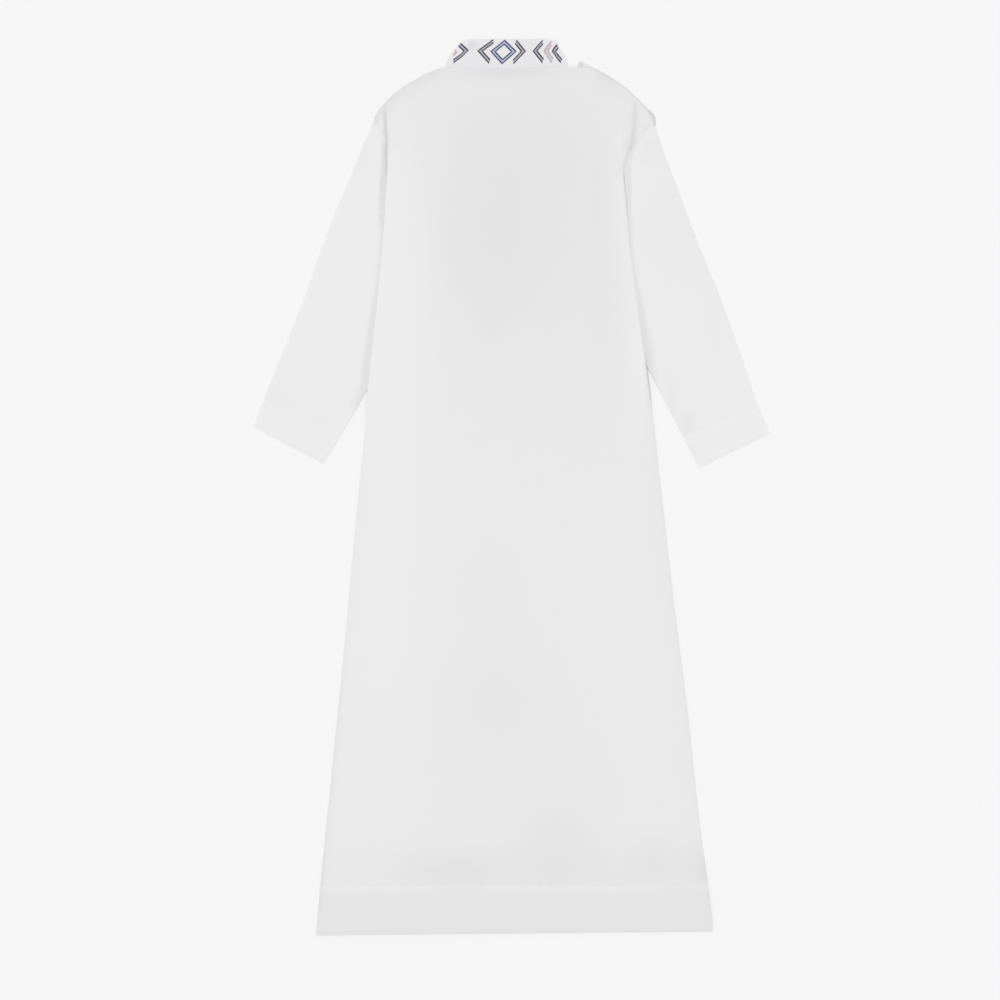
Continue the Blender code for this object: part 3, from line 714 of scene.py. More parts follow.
@dataclass(frozen=True)
class Arm:
    """One side of the robe: its body edge and the lines that cut its sleeve.

    Each place of the armhole is a share of the way round it, an x and a y.
    """

    hand: Hand
    edge: Curve
    bow: Curve
    armhole: tuple[tuple[float, float, float], ...]
    cuff_seam: tuple[tuple[float, float], tuple[float, float]]
    cuff_end: tuple[tuple[float, float], tuple[float, float]]
    seam_end: float
    tuck_top: float
    exit_y: float
    shade: EdgeShade
    seam_from: float = 0.0
    ledge: float = 0.0
    valley: float = 0.0

    @property
    def outward(self) -> float:
        """Direction away from the body, along x."""
        return -1.0 if self.hand is Hand.LEFT else 1.0

    def beyond_edge(self, x: Points, y: Points) -> Points:
        """Distance of points outside the body edge, negative inside."""
        return (x - self.edge(y)) * self.outward

    def armhole_point(self, w: Points) -> Points:
        """Plan places on the armhole end.

        Args:
            w: From the shoulder fold (0) to the underarm fold (1).

        Returns:
            x and y of each place, on the body's edge where the seam is sewn.
        """
        across = Curve(tuple((s[0], s[1]) for s in self.armhole))(w)
        along = Curve(tuple((s[0], s[2]) for s in self.armhole))(w)
        sewn = ease((along - self.tuck_top) / SEAM_RUN + SEAM_LEAD)
        sewn *= ease((w - self.seam_from) / SEAM_SHARE + 1.0)
        seam = self.edge(along) - self.outward * SEAM_LAP
        return np.stack([mix(across, seam, sewn), along], axis=-1)

    def sleeve_point(self, u: float, w: Points) -> Points:
        """Plan places on the sleeve.

        Args:
            u: From the cuff seam (0) to the armhole (1).
            w: From the shoulder fold (0) to the underarm fold (1).

        Returns:
            x and y of each place.
        """
        seam = np.array(self.cuff_seam)
        along = seam[0] - np.array(self.cuff_end)[0]
        start = mix(seam[0], seam[1], w[:, None]) + along / np.linalg.norm(along) * CUFF_JOIN
        place = mix(start, self.armhole_point(w), u)
        place[:, 0] += self.outward * float(self.bow(u)) * (1.0 - w) ** 2
        return place

    def tuck(self, x: Points, y: Points) -> Points:
        """How far the body is lifted by the sleeve tucked under it.

        Args:
            x: x of the points.
            y: y of the points.

        Returns:
            1 over the tucked sleeve, falling to 0 around it.
        """
        rows = mix(self.exit_y, self.tuck_top, np.arange(TUCK_CHORDS + 1) / TUCK_CHORDS)
        corners = list(zip(self.edge(rows), rows))
        corners += [(s[1], s[2]) for s in self.armhole if s[2] < self.tuck_top]
        inside = np.zeros(np.shape(x), dtype=bool)
        nearest = np.full(np.shape(x), np.inf)
        for (x0, y0), (x1, y1) in zip(corners[-1:] + corners[:-1], corners):
            nearest = np.minimum(nearest, chord_distance(x, y, (x0, y0), (x1, y1))[0])
            if y0 != y1:
                crossed = ((y0 > y) != (y1 > y)) & (x < x0 + (x1 - x0) * (y - y0) / (y1 - y0))
                inside ^= crossed
        away = np.where(inside, 0.0, nearest)
        return 1.0 - ease((away - TUCK_MARGIN) / TUCK_SLOPE)

    def ledge_rise(self, x: Points, y: Points) -> Points:
        """Extra height of the sleeve and of the body over it along the body edge.

        Args:
            x: x of the points.
            y: y of the points.

        Returns:
            Height, which falls away outside the edge and more slowly inside it.
        """
        beyond = self.beyond_edge(x, y)
        outside = 1.0 - ease(beyond / LEDGE_FALL)
        inside = np.exp(np.minimum(beyond, 0.0) / LEDGE_REACH)
        along = ease((self.seam_end - y) / LEDGE_RUN) * ease((y - self.exit_y) / LEDGE_RUN)
        return self.ledge * outside * inside * along

    def sleeve_lift(self, x: Points, y: Points) -> Points:
        """1 where the sleeve lies over the front panel, 0 on the floor."""
        near = 1.0 - ease((self.beyond_edge(x, y) - SIDE_MARGIN) / (SLEEVE_RISE - SIDE_MARGIN))
        return near * ease((self.seam_end - y) / (self.seam_end - self.tuck_top))


LEFT_ARM = Arm(
    hand=Hand.LEFT,
    edge=LEFT_EDGE,
    bow=Curve(((0.0, 0.0), (0.38, -0.0006), (0.46, 0.0018), (0.56, 0.0036), (0.67, 0.0045),
               (0.78, 0.0030), (0.90, 0.0022), (1.0, 0.0006))),
    armhole=(
        (0.00, -0.2252, 0.6066), (0.10, -0.2206, 0.5942), (0.18, -0.2132, 0.5802),
        (0.25, -0.2061, 0.5672), (0.33, -0.2066, 0.5480), (0.40, -0.2072, 0.5300),
        (0.52, -0.1900, 0.4900), (0.68, -0.1650, 0.4300), (0.84, -0.1500, 0.3750),
        (1.00, -0.1400, 0.3280),
    ),
    cuff_seam=((-0.4060, 0.1470), (-0.2802, 0.0854)),
    cuff_end=((-0.4240, 0.1002), (-0.3091, 0.0386)),
    seam_end=0.5670,
    tuck_top=0.5300,
    exit_y=0.1480,
    shade=EdgeShade(
        Curve(((0.140, 0.075), (0.200, 0.085), (0.300, 0.085), (0.350, 0.075), (0.405, 0.085),
               (0.450, 0.105), (0.490, 0.115), (0.520, 0.090), (0.565, 0.085), (0.575, 0.0))),
        Curve(((0.140, 0.0060), (0.200, 0.0070), (0.240, 0.0070), (0.300, 0.0045), (0.350, 0.0020),
               (0.405, 0.0012), (0.445, 0.0060), (0.490, 0.0080), (0.530, 0.0068), (0.565, 0.0056))),
        Curve(((0.140, 0.0140), (0.200, 0.0100), (0.260, 0.0050), (0.320, 0.0035), (0.565, 0.0035))),
    ),
    valley=0.0012,
)
RIGHT_ARM = Arm(
    hand=Hand.RIGHT,
    edge=RIGHT_EDGE,
    bow=Curve(((0.0, -0.0004), (0.16, 0.0021), (0.37, 0.0034), (0.48, 0.0012), (0.60, -0.0008),
               (0.90, -0.0024), (0.96, -0.0020), (1.0, 0.0))),
    armhole=(
        (0.00, 0.2366, 0.5926), (0.03, 0.2310, 0.5940), (0.07, 0.2226, 0.5872), (0.13, 0.2129, 0.5763),
        (0.20, 0.2016, 0.5606), (0.28, 0.1896, 0.5374), (0.35, 0.1848, 0.5200),
        (0.42, 0.1874, 0.5000), (0.48, 0.1892, 0.4830), (0.58, 0.1780, 0.4450),
        (0.72, 0.1630, 0.4050), (0.86, 0.1550, 0.3650), (1.00, 0.1500, 0.3350),
    ),
    cuff_seam=((0.4032, 0.1355), (0.2812, 0.0829)),
    cuff_end=((0.4240, 0.0887), (0.3075, 0.0320)),
    seam_end=0.5200,
    tuck_top=0.4830,
    exit_y=0.1860,
    shade=EdgeShade(
        Curve(((0.175, 0.120), (0.220, 0.118), (0.260, 0.105), (0.300, 0.088), (0.350, 0.070), (0.405, 0.070),
               (0.450, 0.080), (0.490, 0.085), (0.520, 0.085), (0.545, 0.080), (0.565, 0.040), (0.585, 0.0))),
        Curve(((0.175, 0.0000), (0.220, 0.0010), (0.260, 0.0030), (0.305, 0.0040), (0.350, 0.0016),
               (0.405, 0.0016), (0.450, 0.0040), (0.485, 0.0080), (0.520, 0.0100), (0.545, 0.0050),
               (0.590, 0.0010))),
        Curve(((0.175, 0.0200), (0.240, 0.0190), (0.300, 0.0080), (0.350, 0.0040), (0.565, 0.0035))),
    ),
    seam_from=0.0600,
    ledge=0.0012,
)


@dataclass
class Panel:
    """Front or back panel: a sheet from its turned hem up to the shoulders."""

    name: str
    right_edge: Curve
    top: Curve
    turn: float
    slotted: bool
    side_lines: Points
    strip_lines: int
    lower_lines: Points
    upper_lines: Points
    hem_lines: Points = field(default_factory=lambda: spaced(((0.86, 7), (1.0, 6))))
    turn_lines: Points = field(default_factory=lambda: spaced(((0.15, 4), (1.0, 5))))
    left_edge: Curve = LEFT_EDGE
    armpits: tuple[float, float] = (0.5670, 0.5200)
    patches: tuple[Patch, ...] = ()
    creases: tuple[Crease, ...] = ()

    def columns(self) -> tuple[Points, Points]:
        """Grid columns of the panel.

        Returns:
            For each column its side (-1 left, 0 strip, 1 right) and its share of
            the way across that side.
        """
        side = self.side_lines
        strip = np.arange(1, self.strip_lines) / self.strip_lines
        shares = np.concatenate([side, strip, 1.0 - side[::-1]])
        sides = np.concatenate([-np.ones(len(side)), np.zeros(len(strip)), np.ones(len(side))])
        return sides, shares

    def side_x(self, edge: Curve, height: float, level: float, inner: float, shares: Points) -> Points:
        """x of the columns on one side of a row.

        Args:
            edge: Edge of the panel on that side.
            height: Height at which the row meets it.
            level: Height of its armpit, above which mostly the outer columns lean out.
            inner: x of the innermost column.
            shares: Share of the way from there to the edge.

        Returns:
            x of each column.
        """
        upright = edge(min(height, level))
        return mix(inner, upright, shares) + (edge(height) - upright) * shares ** LEAN_POWER

    def column_x(self, ends: Points) -> Points:
        """x of every grid column in one row.

        Args:
            ends: Height at which the row meets the left and the right edge.

        Returns:
            x of each column.
        """
        sides, shares = self.columns()
        low = PLACKET_X - PLACKET_WIDTH / 2.0
        high = PLACKET_X + PLACKET_WIDTH / 2.0
        left = self.side_x(self.left_edge, ends[0], self.armpits[0], low, 1.0 - shares)
        right = self.side_x(self.right_edge, ends[-1], self.armpits[1], high, shares)
        return np.where(sides < 0.0, left, np.where(sides > 0.0, right, mix(low, high, shares)))

    def top_y(self) -> Points:
        """Height where each grid column meets the top edge.

        Returns:
            The heights, found by halving for the two corners.
        """
        low = np.full(2, PLACKET_TIP_Y)
        high = np.full(2, COLLAR_SIDE_TOP_Y)
        for _ in range(HALVINGS):
            middle = (low + high) / 2.0
            corners = self.column_x(middle)[[0, -1]]
            under = middle < self.top(corners)
            low = np.where(under, middle, low)
            high = np.where(under, high, middle)
        return self.top(self.column_x((low + high) / 2.0))

    def lie(self, x: Points, y: Points) -> Points:
        """Height of the middle of the cloth above the floor.

        Args:
            x: x of the points.
            y: y of the points.

        Returns:
            Height of each point, raised a little along the folds.
        """
        room = np.maximum(np.minimum(x - self.left_edge(y), self.right_edge(y) - x), 0.0)
        relief = sum((crease.relief(x, y, room) for crease in self.creases), np.zeros(np.shape(x)))
        return FRONT_MID + np.maximum(relief, 0.0)

    def fold_painted_shade(self, x: Points, y: Points) -> Points:
        """Painted shade that all the folds together add at each point."""
        return sum((crease.shade(x, y) for crease in self.creases), np.zeros(np.shape(x)))

    def darker(self, x: Points, y: Points) -> Points:
        """Painted shade of the folds, with the painted shade, light and tone of the patches, at each point.
        """
        return patched(self.patches, x, y) + self.fold_painted_shade(x, y)

    def sheet(self) -> Sheet:
        """Middle surface of the panel with its turned-up hem.

        Returns:
            The sheet, from the end of the turn-up round the fold to the top edge.
        """
        sides, shares = self.columns()
        inner = self.turn * LAYER_STEP
        radius = LAYER_STEP / 2.0
        across = self.column_x(np.full(2, HEM_LEFT_Y)) - self.left_edge.knots[0][1]
        across /= self.right_edge.knots[0][1] - self.left_edge.knots[0][1]
        hem = mix(HEM_LEFT_Y, HEM_RIGHT_Y, across) + radius + WALL / 2.0
        level = PLACKET_TIP_Y + PLACKET_POINT
        split = np.where(sides == 0.0, level - PLACKET_POINT * (1.0 - np.abs(2.0 * shares - 1.0)), level)
        crown = self.top_y()
        heights, lifts, shifts, normals, lengths = [], [], [], [], []
        up = np.array((0.0, 0.0, 1.0))
        for f in self.turn_lines[::-1]:
            heights.append(mix(hem, HEM_STITCH_Y + HEM_ALLOWANCE, f))
            lifts.append(inner)
            shifts.append((0.0, 0.0))
            normals.append(-up)
            lengths.append(hem - (heights[-1] - hem))
        for n in range(1, FOLD_STEPS):
            angle = math.pi * n / FOLD_STEPS
            away = np.array((0.0, -math.sin(angle), self.turn * math.cos(angle)))
            heights.append(hem)
            lifts.append(inner / 2.0)
            shifts.append((away[1] * radius, away[2] * radius))
            normals.append(-self.turn * away)
            lengths.append(hem)
        for f in self.hem_lines:
            heights.append(mix(hem, HEM_STITCH_Y, f))
        for f in self.lower_lines[1:]:
            heights.append(mix(HEM_STITCH_Y, split, f))
        slot_row = len(heights) - 1
        for f in self.upper_lines[1:]:
            heights.append(mix(split, crown, f))
        plain = len(heights) - len(lifts)
        lifts += [0.0] * plain
        shifts += [(0.0, 0.0)] * plain
        normals += [up] * plain
        lengths += heights[-plain:]
        y = np.array(heights)
        x = np.stack([self.column_x(row) for row in y])
        z = self.lie(x, y) + np.array(lifts)[:, None] + np.array(shifts)[:, None, 1]
        middle = np.stack([x, y + np.array(shifts)[:, None, 0], z], axis=-1)
        keep = np.ones((len(y) - 1, len(sides) - 1), dtype=bool)
        if self.slotted:
            first = len(self.side_lines) - 1
            keep[slot_row:, first:first + self.strip_lines] = False
        turned = np.broadcast_to(np.array(normals)[:, None, :], middle.shape)
        grain = np.stack([x, np.array(lengths)], axis=-1)
        return Sheet(middle, turned, grain, keep=keep, shade=self.darker(x, y))

    def make(self, cloth: bpy.types.Material) -> bpy.types.Object:
        """Build the panel.

        Args:
            cloth: Its finish.

        Returns:
            The piece.
        """
        piece = self.sheet().shell(self.name + "_cloth", WALL, cloth)
        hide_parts(self.name)
        return piece


@dataclass
class BackPanel(Panel):
    """Back panel on top of the robe, with the folds that show."""

    arms: tuple[Arm, ...] = (LEFT_ARM, RIGHT_ARM)
    fullness: float = 0.0014
    fade: float = 0.0300
    hem_fullness: float = 0.35
    hem_loosening: Ramp = Ramp(HEM_LEFT_Y, 0.1800)
    tuck_tightness: float = 0.6
    roll: float = 0.0005
    roll_reach: float = 0.0030
    lip: float = 0.0010
    lip_reach: float = 0.0300
    lip_start: Ramp = Ramp(0.0, 0.0060)
    neck_lift: float = 0.0006
    neck_rise: Ramp = Ramp(0.6150, 0.0200)
    side_rise: float = 0.0120
    side_reach: float = 0.0300
    pucker: float = 0.0005
    pucker_pitch: float = 0.0190
    pucker_drift: float = 2.6
    drift_rate: float = 23.0
    slow_pucker: float = 0.6
    slow_rate: float = 0.37
    pucker_floor: float = 0.4
    least_pucker: float = 0.45
    pucker_start: Ramp = Ramp(-0.0600, 0.0800)
    pucker_stop: Ramp = Ramp(0.3100, 0.0200)
    pull_start: Ramp = Ramp(0.0, 0.0100)
    seam_ridge: float = 0.0004
    seam_reach: float = 0.0050
    patch_share: float = 0.2
    patch_stop: float = 0.0040
    sleeve_run: float = 0.0200
    # painted light along the sides over the sleeves, a painted dark line at their edge, and painted shade
    # inside the sides below the sleeves
    edge_light: float = 0.022
    edge_light_reach: float = 0.0250
    edge_shade_line: float = -0.100
    edge_shade_line_reach: float = 0.0018
    edge_shade: float = -0.022
    edge_shade_reach: float = 0.0080
    # painted shade below the shoulders and a painted dark rim along the top edge
    shoulder_tone: float = -0.062
    shoulder_starts: tuple[Ramp, Ramp] = (Ramp(0.1090, 0.0200), Ramp(0.1260, 0.0180))
    shoulder_foot: Ramp = Ramp(0.5980, 0.0080)
    shoulder_reach: Ramp = Ramp(0.0, 0.0340)
    shoulder_loss: float = 0.8
    shoulder_fade: Ramp = Ramp(0.1600, 0.0300)
    rim_tone: float = -0.070
    rim_reach: float = 0.0016
    hem_tone: float = -0.044
    soft_hem: Ramp = Ramp(-0.0220, 0.0200)
    firm_hem: Ramp = Ramp(-0.0070, 0.0070)
    flat_stretch: tuple[Ramp, Ramp] = (Ramp(-0.1300, 0.0150), Ramp(-0.0600, 0.0300))
    flat_end: Ramp = Ramp(0.2350, 0.0200)
    flat_end_share: float = 0.8
    # painted highlight along the hem's sewn line
    stitch_highlight: float = 0.032
    stitch_base: float = 0.25
    stitch_place: float = -0.0045
    stitch_reach: float = 0.0034
    stitch_loss: float = 0.7

    def lie(self, x: Points, y: Points) -> Points:
        """Height of the middle of the cloth above the floor.

        Args:
            x: x of the points.
            y: y of the points.

        Returns:
            Height of each point with the fullness, edge roll and folds.
        """
        inside = np.minimum(-self.arms[0].beyond_edge(x, y), -self.arms[1].beyond_edge(x, y))
        inside = np.maximum(inside, 0.0)
        rise = mix(self.side_rise, HEM_RISE_LENGTH, ease(inside / self.side_reach))
        stitched = ease((y - HEM_STITCH_Y - HEM_ALLOWANCE) / rise)
        height = BACK_MID + TUCK_LIFT * (1.0 - stitched)
        tuck = np.maximum(self.arms[0].tuck(x, y), self.arms[1].tuck(x, y))
        height = height + TUCK_LIFT * tuck + self.neck_lift * self.neck_rise(y)
        below = np.maximum(self.top(x) - y, 0.0)
        near = np.minimum(inside, below)
        loose = mix(self.hem_fullness, 1.0, self.hem_loosening(y)) * (1.0 - self.tuck_tightness * tuck)
        relief = self.fullness * ease(near / self.fade) * loose
        relief += self.roll * (1.0 - np.exp(-(near / self.roll_reach) ** ROLL_POWER))
        relief += self.lip * tuck * np.exp(-inside / self.lip_reach) * self.lip_start(inside)
        relief += self.arms[1].ledge_rise(x, y)
        for crease in self.creases:
            relief += crease.relief(x, y, near)
        relief = np.where(relief > 0.0, relief, 0.0)
        return height + relief + self.stitch_pull(x, y) * self.pull_start(inside)

    def stitch_pull(self, x: Points, y: Points) -> Points:
        """Low ridge and uneven puckers along the hem's sewn line.

        Args:
            x: x of the points.
            y: y of the points.

        Returns:
            Height added at each point.
        """
        away = (y - HEM_STITCH_Y) / self.seam_reach
        return (self.pucker * self.gathers(x) + self.seam_ridge) * np.exp(-away ** 2)

    def gathers(self, x: Points) -> Points:
        """Strength of the uneven puckers along the hem's sewn line.

        Args:
            x: x of the points.

        Returns:
            Strength at each point, most on the right half.
        """
        phase = 2.0 * math.pi * x / self.pucker_pitch
        quick = np.sin(phase + self.pucker_drift * np.sin(x * self.drift_rate))
        wave = quick + self.slow_pucker * np.sin(self.slow_rate * phase + 1.0) - self.pucker_floor
        spread = self.pucker_start(x) * (1.0 - self.pucker_stop(x))
        return np.maximum(wave, 0.0) * mix(self.least_pucker, 1.0, spread)

    def side_tone(self, x: Points, y: Points) -> Points:
        """Painted light and a painted dark line along the sides over the sleeves, and painted shade below
        them.

        Args:
            x: x of the points.
            y: y of the points.

        Returns:
            Tone added at each point.
        """
        tone = np.zeros(np.shape(x))
        for arm in self.arms:
            inside = np.maximum(-arm.beyond_edge(x, y), 0.0)
            over = ease((arm.seam_end - y) / self.sleeve_run) * ease((y - arm.exit_y) / self.sleeve_run)
            light = self.edge_light * np.exp(-inside / self.edge_light_reach)
            line = self.edge_shade_line * np.exp(-(inside / self.edge_shade_line_reach) ** 2)
            shade = self.edge_shade * np.exp(-inside / self.edge_shade_reach)
            tone += mix(shade, light + line, over)
        return tone

    def shoulder_shade(self, x: Points, y: Points) -> Points:
        """Painted shade below the shoulders, with a thin painted dark rim along the top edge.

        Args:
            x: x of the points.
            y: y of the points.

        Returns:
            Tone added at each point.
        """
        below = np.maximum(self.top(x) - y, 0.0)
        left, right = self.shoulder_starts
        strength = np.maximum(left(-x), right(x)) * self.shoulder_foot(y)
        soft = (1.0 - self.shoulder_reach(below)) * (1.0 - self.shoulder_loss * self.shoulder_fade(x))
        rim = np.exp(-(below / self.rim_reach) ** 2)
        return strength * (self.shoulder_tone * soft + self.rim_tone * rim)

    def hem_shade(self, x: Points, y: Points) -> Points:
        """Darker band over the doubled hem, with a painted highlight line where the stitches pull the cloth.

        Args:
            x: x of the points.
            y: y of the points.

        Returns:
            Tone added at each point.
        """
        band = y - HEM_STITCH_Y
        begin, end = self.flat_stretch
        flat = begin(x) * (1.0 - end(x))
        line = np.exp(-((band - self.stitch_place) / self.stitch_reach) ** 2)
        line *= (self.stitch_base + self.gathers(x)) * (1.0 - self.stitch_loss * flat)
        flat = np.maximum(flat, self.flat_end_share * self.flat_end(x))
        doubled = 1.0 - mix(self.soft_hem(band), self.firm_hem(band), flat)
        return self.hem_tone * doubled + self.stitch_highlight * line

    def darker(self, x: Points, y: Points) -> Points:
        """Painted light and shade at the edges, folds and shoulders, the darker hem band, and the painted
        shade, light and tone of the patches.

        Args:
            x: x of the points.
            y: y of the points.

        Returns:
            Tone added at each point.
        """
        single = ease((y - HEM_STITCH_Y) / self.patch_stop + 0.5)
        tone = patched(self.patches, x, y) * mix(self.patch_share, 1.0, single) + self.fold_painted_shade(x, y)
        return tone + self.side_tone(x, y) + self.shoulder_shade(x, y) + self.hem_shade(x, y)


@dataclass
class FlatTube:
    """Tube of cloth pressed flat: top layer, fold, bottom layer, fold."""

    wall: float
    across: Points

    def ring(self, path: Points, low: Points, high: Points) -> tuple[Points, Points]:
        """One ring of the tube.

        Args:
            path: Plan places from one folded edge to the other.
            low: Height of the bottom layer at each place.
            high: Height of the top layer at each place.

        Returns:
            Points and normals round the ring.
        """
        step = 0.5 * (self.wall + LAYER_GAP)
        inset = step + self.wall / 2.0
        start = (path[0] - path[1]) / np.linalg.norm(path[0] - path[1])
        finish = (path[-1] - path[-2]) / np.linalg.norm(path[-1] - path[-2])
        up = np.array((0.0, 0.0, 1.0))
        top = np.column_stack([path[1:-1], high[1:-1]])
        bottom = np.column_stack([path[1:-1], low[1:-1]])[::-1]
        points, normals = [], []
        halves = ((top, path[-1], finish, 1.0, -1), (bottom, path[0], start, -1.0, 0))
        for layer, centre, out, sign, end in halves:
            points.append(layer)
            normals.append(np.broadcast_to(up * sign, layer.shape))
            spot = centre - out * inset
            middle = np.array((*spot, 0.5 * (high[end] + low[end])))
            half = 0.5 * (high[end] - low[end])
            for n in range(FOLD_STEPS + 1):
                angle = math.pi * (0.5 - n / FOLD_STEPS) * sign
                away = np.array((out[0] * math.cos(angle), out[1] * math.cos(angle), math.sin(angle)))
                points.append((middle + away * (step, step, half))[None, :])
                normals.append(away[None, :])
        return np.concatenate(points), np.concatenate(normals)

    def sheet(self, rings: list[tuple[Points, Points]], shade: Points | None = None) -> Sheet:
        """Middle surface of the tube.

        Args:
            rings: Points and normals of each ring, from one end to the other.
            shade: Change of tone at each point.

        Returns:
            The closed sheet.
        """
        middle = np.stack([ring[0] for ring in rings])
        normals = np.stack([ring[1] for ring in rings])
        halfway = middle[len(rings) // 2]
        steps = np.linalg.norm(np.roll(halfway, -1, axis=0) - halfway, axis=1)
        round_it = np.concatenate([[0.0], np.cumsum(steps)])
        lengths = np.linalg.norm(np.diff(middle[:, :, :2].mean(axis=1), axis=0), axis=1)
        along = np.concatenate([[0.0], np.cumsum(lengths)])
        grain = np.stack(np.meshgrid(round_it, along), axis=-1)
        return Sheet(middle, normals, grain, closed=True, shade=shade)


@dataclass
class Sleeve:
    """Long sleeve, folded flat, from the cuff seam to its end between the panels."""

    arm: Arm
    patches: tuple[Patch, ...] = ()
    fullness: float = 0.0014
    filling_out: Ramp = Ramp(0.0, 0.15)
    upper_loss: float = 0.35
    upper_part: Ramp = Ramp(0.45, 0.35)
    side_fade: Ramp = Ramp(0.0, 0.0350)
    lift_loss: float = 0.4
    roll: float = 0.0004
    roll_reach: float = 0.0030
    roll_start: Ramp = Ramp(0.0, 0.02)
    bank_rise: Ramp = Ramp(0.0, 0.0110)
    bank_fall: Ramp = Ramp(0.0110, 0.0300)
    valley_lead: float = 0.0200
    valley_run: float = 0.0400
    end_run: float = 0.0400
    cover_lead: float = 0.0500
    cover: Ramp = Ramp(-0.0020, 0.0080)
    rest: float = 0.00012
    rest_run: float = 0.0200
    across_lines: Points = field(default_factory=lambda: mirrored(((0.032, 2), (0.12, 8), (0.5, 18))))
    along_lines: Points = field(default_factory=lambda: spaced(((0.03, 6), (0.8, 84), (1.0, 36))))

    def heights(self, u: float, place: Points, w: Points) -> tuple[Points, Points]:
        """Heights of both layers.

        Args:
            u: From the cuff seam (0) to the armhole (1).
            place: Plan places across the sleeve.
            w: From the shoulder fold (0) to the underarm fold (1).

        Returns:
            Height of the bottom and of the top layer at each place.
        """
        x, y = place[:, 0], place[:, 1]
        lift = self.arm.sleeve_lift(x, y)
        low = FRONT_MID + LAYER_STEP * lift
        fade = float(self.filling_out(u) * (1.0 - self.upper_loss * self.upper_part(u)))
        width = float(np.linalg.norm(place[-1] - place[0]))
        near = np.minimum(w, 1.0 - w) * width
        beyond = self.arm.beyond_edge(x, y)
        relief = self.fullness * fade * self.side_fade(near) * (1.0 - self.lift_loss * lift)
        rolled = 1.0 - np.exp(-(near / self.roll_reach) ** ROLL_POWER)
        relief += self.roll * rolled * self.roll_start(u)
        bank = self.bank_rise(beyond) * (1.0 - self.bank_fall(beyond))
        relief += self.arm.valley * bank * ease((self.arm.seam_end + self.valley_lead - y) / self.valley_run)
        relief *= ease((1.0 - u) / self.end_run)
        bare = np.where(y < self.arm.tuck_top + self.cover_lead, 1.0 - self.cover(-beyond), 1.0)
        relief = np.maximum(relief, 0.0) * bare
        rest = self.rest * (1.0 - lift) * ease((y - self.arm.tuck_top) / self.rest_run)
        return low + rest, low + LAYER_STEP + relief + self.arm.ledge_rise(x, y)

    def darker(self, rings: list[tuple[Points, Points]]) -> Points:
        """Painted shade on the top layer along the body edge, and the painted shade and tone of its patches.

        Args:
            rings: Points and normals of each ring.

        Returns:
            Tone added at each point.
        """
        places = np.stack([ring[0] for ring in rings])
        x, y = places[:, :, 0], places[:, :, 1]
        tone = self.arm.shade.at(self.arm.beyond_edge(x, y), y) + patched(self.patches, x, y)
        return tone * ease(np.stack([ring[1][:, 2] for ring in rings]))

    def make(self, cloth: bpy.types.Material) -> bpy.types.Object:
        """Build the sleeve.

        Args:
            cloth: Its finish.

        Returns:
            The piece.
        """
        tube = FlatTube(WALL, self.across_lines)
        rings = []
        for u in self.along_lines:
            place = self.arm.sleeve_point(float(u), self.across_lines)
            rings.append(tube.ring(place, *self.heights(float(u), place, self.across_lines)))
        name = "sleeve_" + self.arm.hand.value
        piece = tube.sheet(rings, self.darker(rings)).shell(name + "_cloth", WALL, cloth)
        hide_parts(name)
        return piece


@dataclass
class Cuff:
    """Cuff band between the sleeve and its open end."""

    arm: Arm
    patches: tuple[Patch, ...] = ()
    swell: float = 0.0005
    across_lines: Points = field(default_factory=lambda: mirrored(((0.036, 2), (0.5, 20))))
    along_lines: Points = field(default_factory=lambda: mirrored(((0.08, 3), (0.5, 7))))

    def place(self, u: float) -> Points:
        """Plan places across the cuff.

        Args:
            u: From the cuff's seam (0) to its open end (1).

        Returns:
            x and y of each place, from the outer to the inner folded edge.
        """
        seam, end = np.array(self.arm.cuff_seam), np.array(self.arm.cuff_end)
        outer = mix(seam[0], end[0], u)
        inner = mix(seam[1], end[1], u)
        return mix(outer, inner, self.across_lines[:, None])

    def top_height(self, u: float, w: Points) -> Points:
        """Height of the middle of the top layer."""
        crown = self.swell * ease(4.0 * w * (1.0 - w)) * math.sin(math.pi * min(max(u, 0.0), 1.0)) ** 0.5
        return CUFF_WALL / 2.0 + CUFF_WALL + LAYER_GAP + crown

    def make(self, cloth: bpy.types.Material) -> bpy.types.Object:
        """Build the cuff.

        Args:
            cloth: Its finish.

        Returns:
            The piece.
        """
        tube = FlatTube(CUFF_WALL, self.across_lines)
        low = np.full(len(self.across_lines), CUFF_WALL / 2.0)
        rings = [tube.ring(self.place(float(u)), low, self.top_height(float(u), self.across_lines))
                 for u in self.along_lines]
        places = np.stack([ring[0] for ring in rings])
        tone = patched(self.patches, places[:, :, 0], places[:, :, 1])
        name = "cuff_" + self.arm.hand.value
        piece = tube.sheet(rings, tone).shell(name + "_cloth", CUFF_WALL, cloth)
        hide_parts(name)
        return piece


